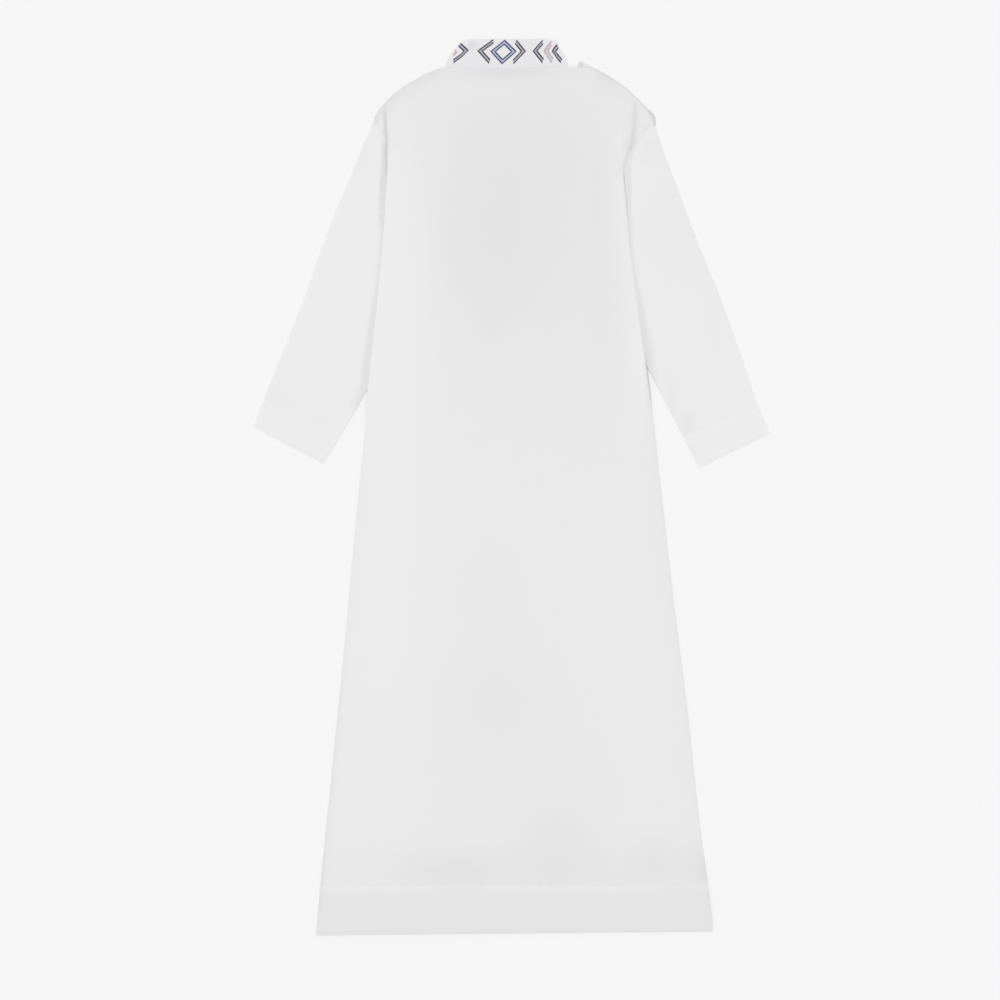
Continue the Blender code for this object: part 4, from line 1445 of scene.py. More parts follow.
@dataclass
class Collar:
    """Stand collar band, open at the front and folded flat at both sides."""

    patches: tuple[Patch, ...] = ()
    rows: int = 22
    columns: int = 92
    front_mid: float = COLLAR_WALL / 2.0
    back_mid: float = COLLAR_WALL / 2.0 + COLLAR_WALL + COLLAR_LAYER_GAP
    swell: float = 0.0006
    swell_sides: float = 12.0
    swell_seams: float = 8.0
    fold_share: float = 0.02

    def back_place(self, u: Points, v: Points) -> tuple[Points, Points]:
        """Plan place on the back half.

        Args:
            u: From the left fold (0) to the right fold (1).
            v: From the neck seam (0) to the upper edge (1).

        Returns:
            x and y.
        """
        side_y = mix(COLLAR_BASE_Y, COLLAR_SIDE_TOP_Y, v)
        x = mix(COLLAR_LEFT(side_y), COLLAR_RIGHT(side_y), u)
        return x, mix(BACK_TOP(x) + COLLAR_JOIN, COLLAR_TOP(x), v)

    def front_place(self, u: Points, v: Points) -> tuple[Points, Points]:
        """Plan place on the front half.

        Args:
            u: From the left fold (0) to the right fold (1).
            v: From the neck seam (0) to the upper edge (1).

        Returns:
            x and y.
        """
        side_y = mix(COLLAR_BASE_Y, COLLAR_SIDE_TOP_Y, v)
        x = mix(COLLAR_LEFT(side_y), COLLAR_RIGHT(side_y), u)
        foot_x = mix(COLLAR_LEFT.knots[0][1], COLLAR_RIGHT.knots[0][1], u)
        height = mix(COLLAR_SIDE_HEIGHT, COLLAR_FRONT_HEIGHT, ease(4.0 * u * (1.0 - u)))
        return x, FRONT_TOP(foot_x) + COLLAR_JOIN + height * v

    def crown(self, u: Points, v: Points) -> Points:
        """Slight swell of the back half between its edges."""
        return (self.swell * ease(self.swell_seams * v * (1.0 - v))
                * ease(self.swell_sides * u * (1.0 - u)))

    def sheet(self) -> Sheet:
        """Middle surface of the collar, from the opening round the back and home.

        Returns:
            The sheet.
        """
        half = (self.back_mid - self.front_mid) / 2.0
        level = (self.back_mid + self.front_mid) / 2.0
        inset = half + COLLAR_WALL / 2.0
        width = COLLAR_RIGHT.knots[0][1] - COLLAR_LEFT.knots[0][1]
        split = (COLLAR_OPENING_X - COLLAR_LEFT.knots[0][1]) / width
        gap = COLLAR_OPENING_GAP / 2.0 / width
        left = np.linspace(split - gap, self.fold_share, self.columns // 2)
        right = np.linspace(1.0 - self.fold_share, split + gap, self.columns // 2)
        across = np.linspace(self.fold_share, 1.0 - self.fold_share, self.columns)
        angles = math.pi * np.arange(FOLD_STEPS + 1) / FOLD_STEPS
        flat = np.zeros_like
        points, normals = [], []
        for v in spaced(((0.06, 3), (0.94, self.rows - 6), (1.0, 3))):
            row, turned = [], []
            x, y = self.front_place(left, v)
            row.append(np.column_stack([x, y, flat(x) + self.front_mid]))
            turned.append(np.column_stack([flat(x), flat(x), flat(x) - 1.0]))
            x, y = self.back_place(np.zeros(1), v)
            away = np.column_stack([-np.sin(angles), flat(angles), -np.cos(angles)])
            row.append(np.array((x[0] + inset, y[0], level)) + away * half)
            turned.append(away)
            x, y = self.back_place(across, v)
            row.append(np.column_stack([x, y, self.back_mid + self.crown(across, v)]))
            turned.append(np.column_stack([flat(x), flat(x), flat(x) + 1.0]))
            x, y = self.back_place(np.ones(1), v)
            away = np.column_stack([np.sin(angles), flat(angles), np.cos(angles)])
            row.append(np.array((x[0] - inset, y[0], level)) + away * half)
            turned.append(away)
            x, y = self.front_place(right, v)
            row.append(np.column_stack([x, y, flat(x) + self.front_mid]))
            turned.append(np.column_stack([flat(x), flat(x), flat(x) - 1.0]))
            points.append(np.concatenate(row))
            normals.append(np.concatenate(turned))
        middle = np.stack(points)
        halfway = middle[len(points) // 2]
        steps = np.linalg.norm(np.diff(halfway, axis=0), axis=1)
        round_it = np.concatenate([[0.0], np.cumsum(steps)])
        along = np.linspace(0.0, COLLAR_FRONT_HEIGHT, len(points))
        turned = np.stack(normals)
        tone = patched(self.patches, middle[:, :, 0], middle[:, :, 1]) * ease(turned[:, :, 2])
        return Sheet(middle, turned, np.stack(np.meshgrid(round_it, along), axis=-1), shade=tone)

    def make(self, cloth: bpy.types.Material) -> bpy.types.Object:
        """Build the collar.

        Args:
            cloth: Its finish.

        Returns:
            The piece.
        """
        piece = self.sheet().shell("collar_cloth", COLLAR_WALL, cloth)
        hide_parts("collar")
        return piece


@dataclass
class Placket:
    """Pointed strip that lies flush in the front opening."""

    rows: int = 72
    columns: int = 9

    def make(self, cloth: bpy.types.Material) -> bpy.types.Object:
        """Build the strip.

        Args:
            cloth: Its finish.

        Returns:
            The piece.
        """
        across = np.linspace(-1.0, 1.0, self.columns)
        half = PLACKET_WIDTH / 2.0 - PLACKET_SIDE_GAP
        foot = PLACKET_TIP_Y + 2.0 * PLACKET_SIDE_GAP + (PLACKET_POINT - PLACKET_SIDE_GAP) * np.abs(across)
        x = PLACKET_X + half * across
        y = np.stack([mix(foot, FRONT_TOP(x), f) for f in np.linspace(0.0, 1.0, self.rows)])
        x = np.broadcast_to(x, y.shape)
        middle = np.stack([x, y, np.full(y.shape, FRONT_MID)], axis=-1)
        up = np.broadcast_to(np.array((0.0, 0.0, 1.0)), middle.shape)
        sheet = Sheet(middle, up, np.stack([x, y], axis=-1))
        piece = sheet.shell("placket_cloth", WALL, cloth)
        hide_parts("placket")
        return piece


@dataclass
class StitchBars:
    """Many short raised stitches of one thread, joined in one piece."""

    name: str
    width: float
    height: float
    round_off: float = 0.28
    longest_slope: float = 0.3
    sink: float = 0.00010
    starts: list[Points] = field(default_factory=list)
    ends: list[Points] = field(default_factory=list)
    ups: list[float] = field(default_factory=list)

    def add(self, start: Points, end: Points, up: float = 1.0) -> None:
        """Add one stitch.

        Args:
            start: Place that it begins at.
            end: Place that it ends at.
            up: 1 for a stitch on top, -1 for a stitch underneath.
        """
        self.starts.append(np.asarray(start, dtype=float))
        self.ends.append(np.asarray(end, dtype=float))
        self.ups.append(up)

    def add_run(self, line: Points, pitch: float, gap: float, up: float = 1.0) -> None:
        """Add a row of stitches along a line.

        Args:
            line: Points of the line, close together.
            pitch: Distance from one stitch to the next.
            gap: Distance between two stitches.
            up: 1 for stitches on top, -1 for stitches underneath.
        """
        steps = np.linalg.norm(np.diff(line, axis=0), axis=1)
        passed = np.concatenate([[0.0], np.cumsum(steps)])
        count = int(passed[-1] / pitch)
        first = (passed[-1] - count * pitch + gap) / 2.0
        for n in range(count):
            places = (first + n * pitch, first + (n + 1) * pitch - gap)
            start, end = (np.array([np.interp(s, passed, line[:, k]) for k in range(3)]) for s in places)
            self.add(start, end, up)

    def make(self, thread: bpy.types.Material, slot: str) -> bpy.types.Object:
        """Build all the stitches.

        Args:
            thread: Their finish.
            slot: Not used.

        Returns:
            The piece.
        """
        start, end = np.array(self.starts), np.array(self.ends)
        up = np.zeros_like(start)
        up[:, 2] = self.ups
        run = end - start
        length = np.linalg.norm(run, axis=1, keepdims=True)
        run /= length
        side = np.cross(up, run)
        side /= np.linalg.norm(side, axis=1, keepdims=True)
        inset = np.minimum(self.round_off * self.width * 2.0, self.longest_slope * length)
        corners = []
        base = ((-0.5, -self.sink, 0.0), (0.5, -self.sink, 0.0))
        ridge = ((self.round_off, self.height, 1.0), (-self.round_off, self.height, 1.0))
        for end_place, inward in ((start, 1.0), (end, -1.0)):
            for across, lift, reach in base + ridge:
                corners.append(end_place + side * (across * self.width) + up * lift
                               + run * (inward * reach * inset))
        places = np.stack(corners, axis=1).reshape(-1, 3)
        box = np.array(((3, 2, 1, 0), (6, 7, 4, 5), (2, 6, 5, 1), (7, 3, 0, 4), (7, 6, 2, 3), (0, 1, 5, 4)))
        first = np.arange(len(start)) * len(corners)
        faces = (first[:, None, None] + box[None]).reshape(-1, 4)
        tones = np.random.default_rng(len(start)).uniform(-1.0, 1.0, len(start))
        piece = mesh_piece(self.name, places, faces, thread, fields={"tone": np.repeat(tones, len(corners))})
        return piece


class Motif(Enum):
    """Kinds of sign in the collar's border."""

    POINT_LEFT = "point to the left"
    POINT_RIGHT = "point to the right"
    DIAMOND = "diamond"


class Thread(Enum):
    """Colours of thread in the border, each with a line and a filling."""

    NAVY = "navy"
    BLUE = "blue"
    PINK = "pink"


@dataclass(frozen=True)
class Sign:
    """One sign of the border: its kind, thread, place, and how far its arms run sideways."""

    kind: Motif
    thread: Thread
    x: float
    upper: float
    lower: float
    lift: float = 0.0
    sewn: float = 1.0


@dataclass
class CollarBorder:
    """Satin stitch border of nested points and diamonds round the collar."""

    collar: Collar
    back_signs: tuple[Sign, ...]
    front_signs: tuple[Sign, ...]
    middle: float = 0.0262
    above: float = 0.0187
    below: float = 0.0206
    line: float = 0.0025
    filling: float = 0.0018
    pitch: float = 0.00040
    slant: float = 0.12
    margin: float = 0.0022
    end_cut: float = 1.6
    shortest: float = 0.0005
    stitch_gap: float = 0.0001
    stitch_width: float = 0.00046
    stitch_height: float = 0.00028
    bars: dict[tuple[Thread, str], StitchBars] = field(init=False)

    def __post_init__(self) -> None:
        """Lay out an empty set of stitches for each thread and part."""
        self.bars = {}
        for thread in Thread:
            for part in ("line", "fill"):
                name = f"border_{thread.value}_{part}"
                self.bars[(thread, part)] = StitchBars(name, self.stitch_width, self.stitch_height)

    def place(self, x: float, height: float, front: bool) -> Points | None:
        """Place on the collar's face of a point of the flat border.

        Args:
            x: Place across the collar, at the border's middle line.
            height: Height above the neck seam.
            front: Whether it is on the hidden front half.

        Returns:
            The place, or None past a folded edge.
        """
        x = x + self.slant * (height - self.middle) * (0.0 if front else 1.0)
        share = height / COLLAR_FRONT_HEIGHT
        side_y = mix(COLLAR_BASE_Y, COLLAR_SIDE_TOP_Y, share)
        left, right = float(COLLAR_LEFT(side_y)), float(COLLAR_RIGHT(side_y))
        if not left + self.margin < x < right - self.margin:
            return None
        u = (x - left) / (right - left)
        if front:
            spot = self.collar.front_place(np.array(u), np.array(share))
            return np.array((float(spot[0]), float(spot[1]), 0.0))
        spot = self.collar.back_place(np.array(u), np.array(share))
        crown = float(self.collar.crown(np.array(u), np.array(share)))
        level = self.collar.back_mid + COLLAR_WALL / 2.0 + crown
        return np.array((float(spot[0]), float(spot[1]), level))

    def arm(self, start: Points, end: Points, inside: Points, mitres: tuple[float, float],
            thread: Thread, front: bool) -> None:
        """Fill one straight arm of a sign with stitches across its bands.

        Args:
            start: Outer corner that the arm begins at, on the flat border.
            end: Where it ends.
            inside: A place on the inner side of the arm.
            mitres: Slope of the cut at the start and at the end.
            thread: Its thread.
            front: Whether it is on the hidden front half.
        """
        run = end - start
        length = float(np.linalg.norm(run))
        run = run / length
        inward = np.array((-run[1], run[0]))
        if inward @ (inside - start) < 0.0:
            inward = -inward
        bands = (("line", 0.0, self.line), ("fill", self.line, self.line + self.filling),
                 ("line", self.line + self.filling, 2.0 * self.line + self.filling))
        for part, near, far in bands:
            for s in np.arange(self.pitch / 2.0, length, self.pitch):
                reach = min(far, s * mitres[0], (length - s) * mitres[1])
                if reach - near < self.shortest:
                    continue
                ends = []
                for depth in (near + self.stitch_gap, reach - self.stitch_gap):
                    x, height = start + run * s + inward * depth
                    ends.append(self.place(x, height, front))
                if ends[0] is None or ends[1] is None:
                    continue
                up = -1.0 if front else 1.0
                self.bars[(thread, part)].add(ends[0], ends[1], up)

    def sign(self, sign: Sign, front: bool) -> None:
        """Lay out the stitches of one sign.

        Args:
            sign: The sign.
            front: Whether it is on the hidden front half.
        """
        middle = self.middle + sign.lift
        top = np.array((sign.x + sign.upper, middle + self.above))
        bottom = np.array((sign.x + sign.lower, middle - self.below))
        if sign.kind is Motif.DIAMOND:
            left = np.array((sign.x - sign.upper, middle))
            right = np.array((sign.x + sign.upper, middle))
            top[0] = bottom[0] = sign.x
            corners = (top, right, bottom, left)
            centre = np.array((sign.x, middle))
            for n in range(4):
                rise = self.above if n in (0, 3) else self.below
                flat, steep = rise / sign.upper, sign.upper / rise
                slopes = (steep, flat) if n % 2 == 0 else (flat, steep)
                self.arm(corners[n], corners[(n + 1) % 4], centre, slopes, sign.thread, front)
            return
        point = np.array((sign.x, middle))
        turn = 1.0 if sign.kind is Motif.POINT_LEFT else -1.0
        inside = point + (turn * self.above, 0.0)
        for end in (top, bottom):
            slope = abs(end[1] - point[1]) / abs(end[0] - point[0])
            end = mix(point, end, sign.sewn)
            self.arm(point, end, inside, (slope, self.end_cut / slope), sign.thread, front)

    def make(self, threads: dict[tuple[Thread, str], bpy.types.Material]) -> list[bpy.types.Object]:
        """Build the border.

        Args:
            threads: Finish of the line and of the filling of each thread.

        Returns:
            One piece for each thread and part.
        """
        for sign in self.back_signs:
            self.sign(sign, False)
        for sign in self.front_signs:
            self.sign(sign, True)
        return [bars.make(threads[key], "collar_cloth") for key, bars in self.bars.items() if bars.starts]


@dataclass
class SewnLines:
    """Rows of machine stitches at the hem, the cuffs and the placket."""

    back: BackPanel
    cuffs: tuple[Cuff, Cuff]
    pitch: float = 0.0032
    gap: float = 0.0007
    width: float = 0.00042
    height: float = 0.00020
    margin: float = 0.0045
    hem_samples: int = 400
    cuff_rows: tuple[float, float] = (0.055, 0.93)
    fold_lines: int = 3
    placket_inset: float = 0.0030
    tip_inset: float = 0.0036
    foot_rise: float = 0.0010
    top_gap: float = 0.0040
    tip_samples: int = 12
    side_samples: int = 60

    def hem(self) -> StitchBars:
        """Stitches that hold the hem, on top and underneath.

        Returns:
            The stitches.
        """
        bars = StitchBars("hem_stitches", self.width, self.height)
        left, right = float(LEFT_EDGE(HEM_STITCH_Y)), float(RIGHT_EDGE(HEM_STITCH_Y))
        x = np.linspace(left + self.margin, right - self.margin, self.hem_samples)
        y = np.full(x.shape, HEM_STITCH_Y)
        top = self.back.lie(x, y) + WALL / 2.0
        bars.add_run(np.column_stack([x, y, top]), self.pitch, self.gap)
        bars.add_run(np.column_stack([x, y, np.zeros(x.shape)]), self.pitch, self.gap, -1.0)
        return bars

    def cuff(self, cuff: Cuff) -> StitchBars:
        """Two rows of stitches round a cuff, at its seam and at its open end.

        Args:
            cuff: The cuff.

        Returns:
            The stitches.
        """
        bars = StitchBars(f"cuff_stitches_{cuff.arm.hand.value}", self.width, self.height)
        flat = slice(self.fold_lines, -self.fold_lines)
        for u in self.cuff_rows:
            places = cuff.place(u)[flat]
            top = cuff.top_height(u, cuff.across_lines)[flat] + CUFF_WALL / 2.0
            bars.add_run(np.column_stack([places, top]), self.pitch, self.gap)
            bars.add_run(np.column_stack([places, np.zeros(len(places))]), self.pitch, self.gap, -1.0)
        return bars

    def placket(self) -> StitchBars:
        """Stitches round the front opening strip, on the underside.

        Returns:
            The stitches.
        """
        bars = StitchBars("placket_stitches", self.width, self.height)
        half = PLACKET_WIDTH / 2.0 - self.placket_inset
        tip = PLACKET_TIP_Y + self.tip_inset
        foot = PLACKET_TIP_Y + PLACKET_POINT + self.foot_rise
        for side in (-1.0, 1.0):
            x = PLACKET_X + half * side
            top = float(FRONT_TOP(x)) - self.top_gap
            point = np.column_stack([np.linspace(PLACKET_X, x, self.tip_samples),
                                     np.linspace(tip, foot, self.tip_samples)])
            upright = np.column_stack([np.full(self.side_samples, x),
                                       np.linspace(foot, top, self.side_samples)])
            line = np.concatenate([point, upright[1:]])
            bars.add_run(np.column_stack([line, np.zeros(len(line))]), self.pitch, self.gap, -1.0)
        return bars

    def make(self, thread: bpy.types.Material) -> list[bpy.types.Object]:
        """Build all the rows.

        Args:
            thread: Their finish.

        Returns:
            One piece for each set of rows.
        """
        sets = [self.hem(), self.placket()] + [self.cuff(cuff) for cuff in self.cuffs]
        return [bars.make(thread, "robe_cloth") for bars in sets]


@dataclass
class Studio:
    """Pale floor, soft even light with a broad key from above on the left, and the camera."""

    floor_size: float = 40.0
    floor_level: float = -0.0004
    ambient: float = 0.80
    key: float = 0.75
    key_spread: float = 1.50
    key_from: tuple[float, float, float] = (-0.22, 0.14, 0.97)
    aim: tuple[float, float] = (-0.0193, -0.0205)
    focal_length: float = 85.0
    frame_width: float = 1.642
    sensor: float = 36.0
    view_depth: float = 50.0

    def floor(self, finish: FloorFinish) -> bpy.types.Object:
        """Build the floor.

        Args:
            finish: Its finish.

        Returns:
            The floor.
        """
        bpy.ops.mesh.primitive_plane_add(size=self.floor_size, location=(0.0, 0.0, self.floor_level))
        bpy.ops.object.transform_apply(location=True)
        ground = bpy.context.active_object
        ground.name = ground.data.name = "studio_floor"
        ground.data.materials.append(finish.make())
        return ground

    def light(self) -> None:
        """Set the even surrounding light and the soft key."""
        world = bpy.data.worlds.new("studio")
        world.use_nodes = True
        sky = world.node_tree.nodes["Background"]
        sky.inputs["Color"].default_value = (1.0, 1.0, 1.0, 1.0)
        sky.inputs["Strength"].default_value = self.ambient
        bpy.context.scene.world = world
        lamp = bpy.data.lights.new("soft_key", "SUN")
        lamp.energy = self.key
        lamp.angle = self.key_spread
        sun = bpy.data.objects.new("soft_key", lamp)
        direction = -np.array(self.key_from)
        sun.rotation_mode = "QUATERNION"
        sun.rotation_quaternion = mathutils.Vector(direction).to_track_quat("-Z", "Y")
        bpy.context.scene.collection.objects.link(sun)
        bpy.context.scene.view_settings.view_transform = "Standard"

    def camera(self) -> None:
        """Hang the camera straight above the robe."""
        lens = bpy.data.cameras.new("overhead")
        lens.lens = self.focal_length
        lens.sensor_width = self.sensor
        lens.clip_end = self.view_depth
        above = bpy.data.objects.new("overhead", lens)
        distance = self.frame_width * self.focal_length / self.sensor
        above.location = (*self.aim, distance)
        bpy.context.scene.collection.objects.link(above)
        bpy.context.scene.camera = above


BACK_SIDE_LINES = spaced(((0.035, 8), (0.16, 20), (1.0, 60)))
BACK_LOWER_LINES = spaced(((0.022, 10), (0.06, 10), (1.0, 94)))
BACK_UPPER_LINES = spaced(((0.70, 44), (0.93, 34), (1.0, 16)))
FRONT_SIDE_LINES = spaced(((0.03, 4), (1.0, 44)))
FRONT_LOWER_LINES = spaced(((0.04, 4), (1.0, 66)))
FRONT_UPPER_LINES = spaced(((0.85, 30), (1.0, 14)))
# Folds of the back, each with painted shade; the last three have no relief and are only painted dark lines
# along the right edge by the underarm, the lower left edge and the hem's bottom edge
BACK_CREASES = (
    Crease(((-0.2083, 0.636), (-0.2080, 0.610), (-0.2068, 0.588), (-0.2054, 0.570), (-0.2060, 0.530),
            (-0.2075, 0.490)), 0.0036, -0.0012, tone=-0.190, tone_width=0.0030, ends=0.24),
    Crease(((-0.1600, 0.495), (-0.1575, 0.330), (-0.1570, 0.140)), 0.0090, -0.0006, ends=0.3),
    Crease(((-0.1390, 0.495), (-0.1345, 0.330), (-0.1320, 0.135)), 0.0085, 0.0006, ends=0.3),
    Crease(((0.2032, 0.640), (0.2026, 0.624), (0.2014, 0.595), (0.1996, 0.574), (0.1955, 0.554),
            (0.1888, 0.536), (0.1860, 0.500)), 0.0066, -0.0010, tone=-0.108, tone_width=0.0048, ends=0.17),
    Crease(((-0.1100, 0.6780), (0.0000, 0.6775), (0.1040, 0.6770)), 0.0065, -0.0010, ends=0.1),
    Crease(((-0.1200, 0.6550), (0.0000, 0.6520), (0.1100, 0.6530)), 0.0120, 0.0006, ends=0.2),
    Crease(((-0.0870, -0.6000), (-0.0840, -0.6440)), 0.0220, -0.0007, ends=0.3),
    Crease(((0.0710, -0.5600), (0.0730, -0.6440)), 0.0200, -0.0007, ends=0.3),
    Crease(((0.2370, -0.5700), (0.2410, -0.6400)), 0.0200, -0.0006, ends=0.3),
    Crease(((0.1760, -0.5000), (0.1820, -0.5800)), 0.0240, 0.0006, ends=0.3),
    Crease(((0.1480, 0.5100), (0.1520, 0.4360)), 0.0100, -0.0006, ends=0.3),
    Crease(((0.2180, 0.2200), (0.2220, 0.1950), (0.2246, 0.1766), (0.2280, 0.1519), (0.2296, 0.1300)),
           0.0020, 0.0, tone=-0.300, tone_width=0.0021, ends=0.25),
    Crease(((-0.2750, -0.2620), (-0.2952, -0.4638), (-0.3148, -0.6610), (-0.3205, -0.7300)), 0.0020, 0.0,
           tone=-0.045, tone_width=0.0050, ends=0.16),
    Crease(((-0.3190, -0.7346), (0.3290, -0.7280)), 0.0020, 0.0, tone=-0.030, tone_width=0.0022, ends=0.01),
)
# Painted shade in hollows above the hem, under the collar, along the creases and at the edges, painted light
# on the left side and beside the right shoulder fold, and broad changes of tone over the layers beneath
BACK_PATCHES = (
    Patch(-0.1900, 0.2500, 0.0420, 0.3600, 0.030),
    Patch(-0.2350, 0.1000, 0.0120, 0.0700, 0.034),
    Patch(0.2120, 0.1800, 0.0120, 0.0750, 0.028),
    Patch(-0.1290, 0.1500, 0.0110, 0.1900, 0.010),
    Patch(-0.2200, -0.2000, 0.0800, 0.3000, 0.016),
    Patch(-0.0300, 0.4380, 0.0840, 0.1480, -0.031, 2.0),
    Patch(-0.0120, 0.4100, 0.1200, 0.2300, -0.024),
    Patch(-0.0320, 0.2650, 0.0300, 0.0500, -0.012),
    Patch(0.1050, 0.4200, 0.0750, 0.2600, -0.018),
    Patch(0.1520, 0.3000, 0.0280, 0.1700, -0.018),
    Patch(0.1440, 0.4750, 0.0130, 0.0400, -0.026),
    Patch(0.1180, 0.1050, 0.0160, 0.0500, -0.012),
    Patch(-0.0100, 0.6000, 0.2600, 0.0900, -0.014),
    Patch(-0.0100, 0.6830, 0.0950, 0.0140, -0.076),
    Patch(0.1500, 0.6560, 0.0200, 0.0120, -0.012),
    Patch(-0.2240, 0.6010, 0.0045, 0.0070, -0.080),
    Patch(-0.2098, 0.5790, 0.0026, 0.0110, -0.050),
    Patch(0.1950, 0.5600, 0.0070, 0.0160, -0.036),
    Patch(0.1765, 0.5640, 0.0055, 0.0240, 0.026),
    Patch(-0.0350, -0.1850, 0.0420, 0.0800, -0.014),
    Patch(-0.0260, -0.3500, 0.0900, 0.0850, -0.024),
    Patch(-0.0950, -0.6280, 0.0700, 0.0300, -0.040),
    Patch(0.0780, -0.5900, 0.0620, 0.0700, -0.034),
    Patch(0.2360, -0.6180, 0.0400, 0.0400, -0.044),
    Patch(0.3000, -0.6200, 0.0240, 0.0360, -0.040),
    Patch(0.3190, -0.6290, 0.0100, 0.0230, -0.060),
    Patch(-0.3120, -0.6300, 0.0060, 0.0180, -0.034),
    Patch(0.0000, -0.6420, 0.2600, 0.0500, -0.040),
    Patch(0.0000, -0.4900, 0.1500, 0.1100, -0.009),
)
# Low folds of the front's underside, each with painted shade along it
FRONT_CREASES = (
    Crease(((-0.1640, 0.500), (-0.1590, 0.360), (-0.1615, 0.190)), 0.0100, 0.0008, tone=-0.034,
           tone_width=0.0085),
    Crease(((-0.1320, 0.470), (-0.1290, 0.300)), 0.0080, 0.0005, tone=-0.020, tone_width=0.0070, ends=0.3),
    Crease(((0.1540, 0.490), (0.1585, 0.400), (0.1570, 0.270), (0.1630, 0.180)), 0.0095, 0.0008, tone=-0.032,
           tone_width=0.0080),
    Crease(((-0.1150, 0.640), (-0.0880, 0.590), (-0.0750, 0.530)), 0.0090, 0.0006, tone=-0.026,
           tone_width=0.0080),
    Crease(((0.1050, 0.630), (0.0820, 0.575), (0.0740, 0.500), (0.0760, 0.440)), 0.0095, 0.0007, tone=-0.028,
           tone_width=0.0085),
    Crease(((0.0240, 0.330), (0.0330, 0.240), (0.0300, 0.130)), 0.0120, 0.0005, tone=-0.018,
           tone_width=0.0110),
    Crease(((-0.0920, 0.080), (-0.1040, -0.120), (-0.1330, -0.350)), 0.0150, 0.0009, tone=-0.026,
           tone_width=0.0130, ends=0.3),
    Crease(((0.0960, 0.130), (0.1090, -0.060), (0.1420, -0.310)), 0.0140, 0.0008, tone=-0.024,
           tone_width=0.0120, ends=0.3),
    Crease(((0.0120, -0.210), (0.0190, -0.380), (0.0160, -0.540)), 0.0170, 0.0007, tone=-0.018,
           tone_width=0.0150, ends=0.35),
    Crease(((-0.2120, -0.300), (-0.2200, -0.480)), 0.0130, 0.0006, tone=-0.018, tone_width=0.0120, ends=0.35),
    Crease(((0.2210, -0.380), (0.2330, -0.560)), 0.0120, 0.0006, tone=-0.018, tone_width=0.0110, ends=0.35),
)
# Painted shadow on the front where it shows past the back at the right shoulder tip and at the small nub by
# the collar
FRONT_PATCHES = (
    Patch(0.2270, 0.6140, 0.0065, 0.0080, -0.150),
    Patch(0.2348, 0.6040, 0.0036, 0.0110, -0.170),
    Patch(0.1130, 0.6955, 0.0040, 0.0070, -0.200),
)
# Painted shade near the shoulder, along the body edge and at the underarm, and small changes of tone along
# the sleeve
LEFT_SLEEVE_PATCHES = (
    Patch(-0.3000, 0.1800, 0.0350, 0.0600, -0.006),
    Patch(-0.2560, 0.1360, 0.0100, 0.0200, -0.055),
    Patch(-0.2240, 0.6010, 0.0045, 0.0070, -0.080),
    Patch(-0.2450, 0.5500, 0.0200, 0.0400, -0.022),
    Patch(-0.3850, 0.1700, 0.0170, 0.0450, -0.020),
    Patch(-0.3300, 0.1120, 0.0220, 0.0130, -0.022),
    Patch(-0.3700, 0.1330, 0.0200, 0.0130, -0.015),
    Patch(-0.4020, 0.1500, 0.0120, 0.0140, -0.012),
)
# Painted shade near the armhole and the underarm, and small changes of tone along the sleeve
RIGHT_SLEEVE_PATCHES = (
    Patch(0.2950, 0.3500, 0.0500, 0.1000, -0.009),
    Patch(0.3050, 0.4300, 0.0250, 0.0700, -0.010),
    Patch(0.2500, 0.4400, 0.0400, 0.0900, -0.020),
    Patch(0.2250, 0.5600, 0.0240, 0.0300, -0.026),
    Patch(0.3300, 0.2700, 0.0150, 0.0600, -0.014),
    Patch(0.2620, 0.1450, 0.0130, 0.0400, -0.034),
    Patch(0.2880, 0.1020, 0.0170, 0.0200, -0.045),
)
LEFT_CUFF_PATCHES = (
    Patch(-0.3520, 0.0900, 0.0800, 0.0600, -0.012),
)
RIGHT_CUFF_PATCHES = (
    Patch(0.2990, 0.0540, 0.0160, 0.0180, -0.035),
)
COLLAR_PATCHES = (
    Patch(-0.0640, 0.7245, 0.0085, 0.0075, -0.090, 2.0),
)
BACK_SIGNS = (
    Sign(Motif.POINT_RIGHT, Thread.PINK, -0.0885, -0.0200, -0.0200, lift=0.0016, sewn=0.36),
    Sign(Motif.POINT_RIGHT, Thread.NAVY, -0.0702, -0.0180, -0.0230, lift=0.0016),
    Sign(Motif.POINT_LEFT, Thread.NAVY, -0.0574, 0.0247, 0.0221, lift=0.0008),
    Sign(Motif.DIAMOND, Thread.BLUE, -0.0137, 0.0222, 0.0222),
    Sign(Motif.POINT_RIGHT, Thread.NAVY, 0.0238, -0.0181, -0.0186),
    Sign(Motif.POINT_LEFT, Thread.NAVY, 0.0337, 0.0146, 0.0186),
    Sign(Motif.POINT_LEFT, Thread.PINK, 0.0516, 0.0110, 0.0160),
    Sign(Motif.POINT_LEFT, Thread.NAVY, 0.0650, 0.0086, 0.0176),
)
FRONT_SIGNS = (
    Sign(Motif.POINT_LEFT, Thread.NAVY, -0.0930, 0.0160, 0.0160),
    Sign(Motif.DIAMOND, Thread.BLUE, -0.0480, 0.0217, 0.0217),
    Sign(Motif.POINT_RIGHT, Thread.NAVY, -0.0130, -0.0160, -0.0160),
    Sign(Motif.POINT_LEFT, Thread.NAVY, -0.0030, 0.0160, 0.0160),
    Sign(Motif.DIAMOND, Thread.BLUE, 0.0320, 0.0217, 0.0217),
    Sign(Motif.POINT_RIGHT, Thread.NAVY, 0.0770, -0.0160, -0.0160),
)
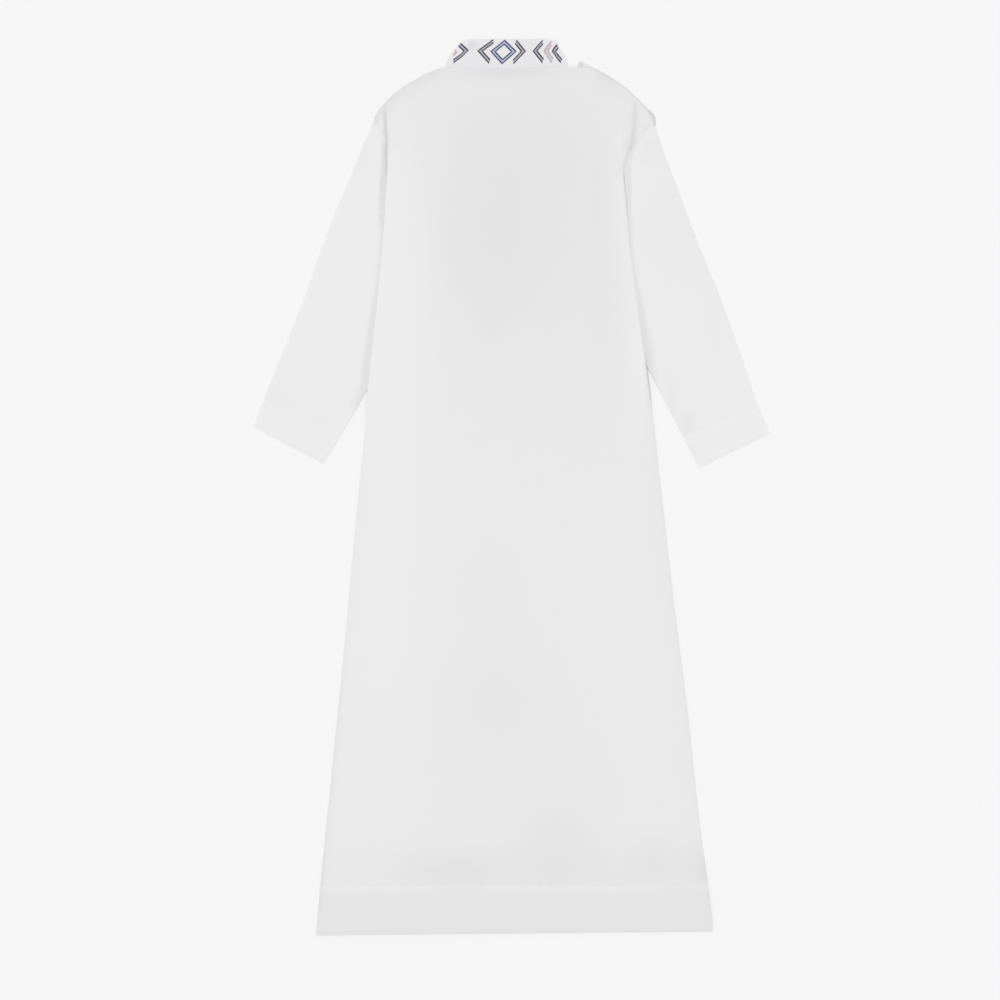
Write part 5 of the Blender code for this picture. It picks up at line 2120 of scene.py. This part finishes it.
# One white cloth in slightly lighter and darker copies for the pieces: partly painted light and shade across
# the pieces as they lie, partly the tone of the layers beneath
BODY_CLOTH = ClothFinish("white_body_cloth", (0.794, 0.794, 0.795))
SLEEVE_CLOTH = ClothFinish("white_sleeve_cloth", (0.814, 0.814, 0.815))
CUFF_CLOTH = ClothFinish("white_cuff_cloth", (0.822, 0.822, 0.823), handle=0.0002)
FRONT_CLOTH = ClothFinish("white_front_cloth", (0.780, 0.780, 0.784))
COLLAR_CLOTH = ClothFinish("white_collar_cloth", (0.774, 0.773, 0.789), pitch=0.00060, relief=0.000012,
                           handle=0.0001)
SEWING_THREAD = ThreadFinish("white_sewing_thread", (0.84, 0.84, 0.85), spread=0.03)
BORDER_THREADS = {
    (Thread.NAVY, "line"): ThreadFinish("navy_thread", (0.022, 0.020, 0.052)),
    (Thread.NAVY, "fill"): ThreadFinish("lavender_grey_thread", (0.47, 0.46, 0.58)),
    (Thread.BLUE, "line"): ThreadFinish("blue_thread", (0.030, 0.048, 0.150)),
    (Thread.BLUE, "fill"): ThreadFinish("pale_blue_thread", (0.49, 0.57, 0.84)),
    (Thread.PINK, "line"): ThreadFinish("dusty_pink_thread", (0.60, 0.48, 0.52)),
    (Thread.PINK, "fill"): ThreadFinish("pale_pink_thread", (0.84, 0.79, 0.83)),
}


def declare(piece: bpy.types.Object, flat: tuple[float, float]) -> None:
    """State the cut of a laid piece.

    Args:
        piece: The cloth piece.
        flat: Width and length it was cut to.
    """
    LOG.info("%s cut from %.0f x %.0f mm", piece.name, flat[0] * 1000.0, flat[1] * 1000.0)


def main() -> None:
    """Build the robe and the studio."""
    logging.basicConfig(level=logging.INFO, format="%(name)s: %(message)s")
    studio = Studio()
    studio.camera()
    studio.light()
    studio.floor(FloorFinish())
    weave = weave_group()
    body, sleeve_cloth, cuff_cloth, front_cloth, collar_cloth = (
        finish.make(weave) for finish in (BODY_CLOTH, SLEEVE_CLOTH, CUFF_CLOTH, FRONT_CLOTH, COLLAR_CLOTH))
    back = BackPanel(name="back", right_edge=RIGHT_EDGE, top=BACK_TOP, turn=-1.0, slotted=False,
                     side_lines=BACK_SIDE_LINES, strip_lines=10, lower_lines=BACK_LOWER_LINES,
                     upper_lines=BACK_UPPER_LINES, creases=BACK_CREASES, patches=BACK_PATCHES)
    front = Panel(name="front", right_edge=FRONT_RIGHT_EDGE, top=FRONT_TOP, turn=1.0, slotted=True,
                  side_lines=FRONT_SIDE_LINES, strip_lines=8, lower_lines=FRONT_LOWER_LINES,
                  upper_lines=FRONT_UPPER_LINES, creases=FRONT_CREASES, patches=FRONT_PATCHES)
    declare(front.make(front_cloth), (0.656, 1.520))
    declare(Placket().make(front_cloth), (0.036, 0.398))
    for arm, patches, area in ((LEFT_ARM, LEFT_SLEEVE_PATCHES, 0.131),
                               (RIGHT_ARM, RIGHT_SLEEVE_PATCHES, 0.128)):
        sleeve = Sleeve(arm, patches).make(sleeve_cloth)
        declare(sleeve, (0.582, 0.500))
    declare(back.make(body), (0.656, 1.512))
    cuffs = (Cuff(LEFT_ARM, LEFT_CUFF_PATCHES), Cuff(RIGHT_ARM, RIGHT_CUFF_PATCHES))
    for cuff in cuffs:
        declare(cuff.make(cuff_cloth), (0.288, 0.051))
    collar = Collar(COLLAR_PATCHES)
    declare(collar.make(collar_cloth), (0.400, 0.047))
    CollarBorder(collar, BACK_SIGNS, FRONT_SIGNS).make(
        {key: finish.make() for key, finish in BORDER_THREADS.items()})
    SewnLines(back, cuffs).make(SEWING_THREAD.make())


if __name__ == "__main__":
    main()
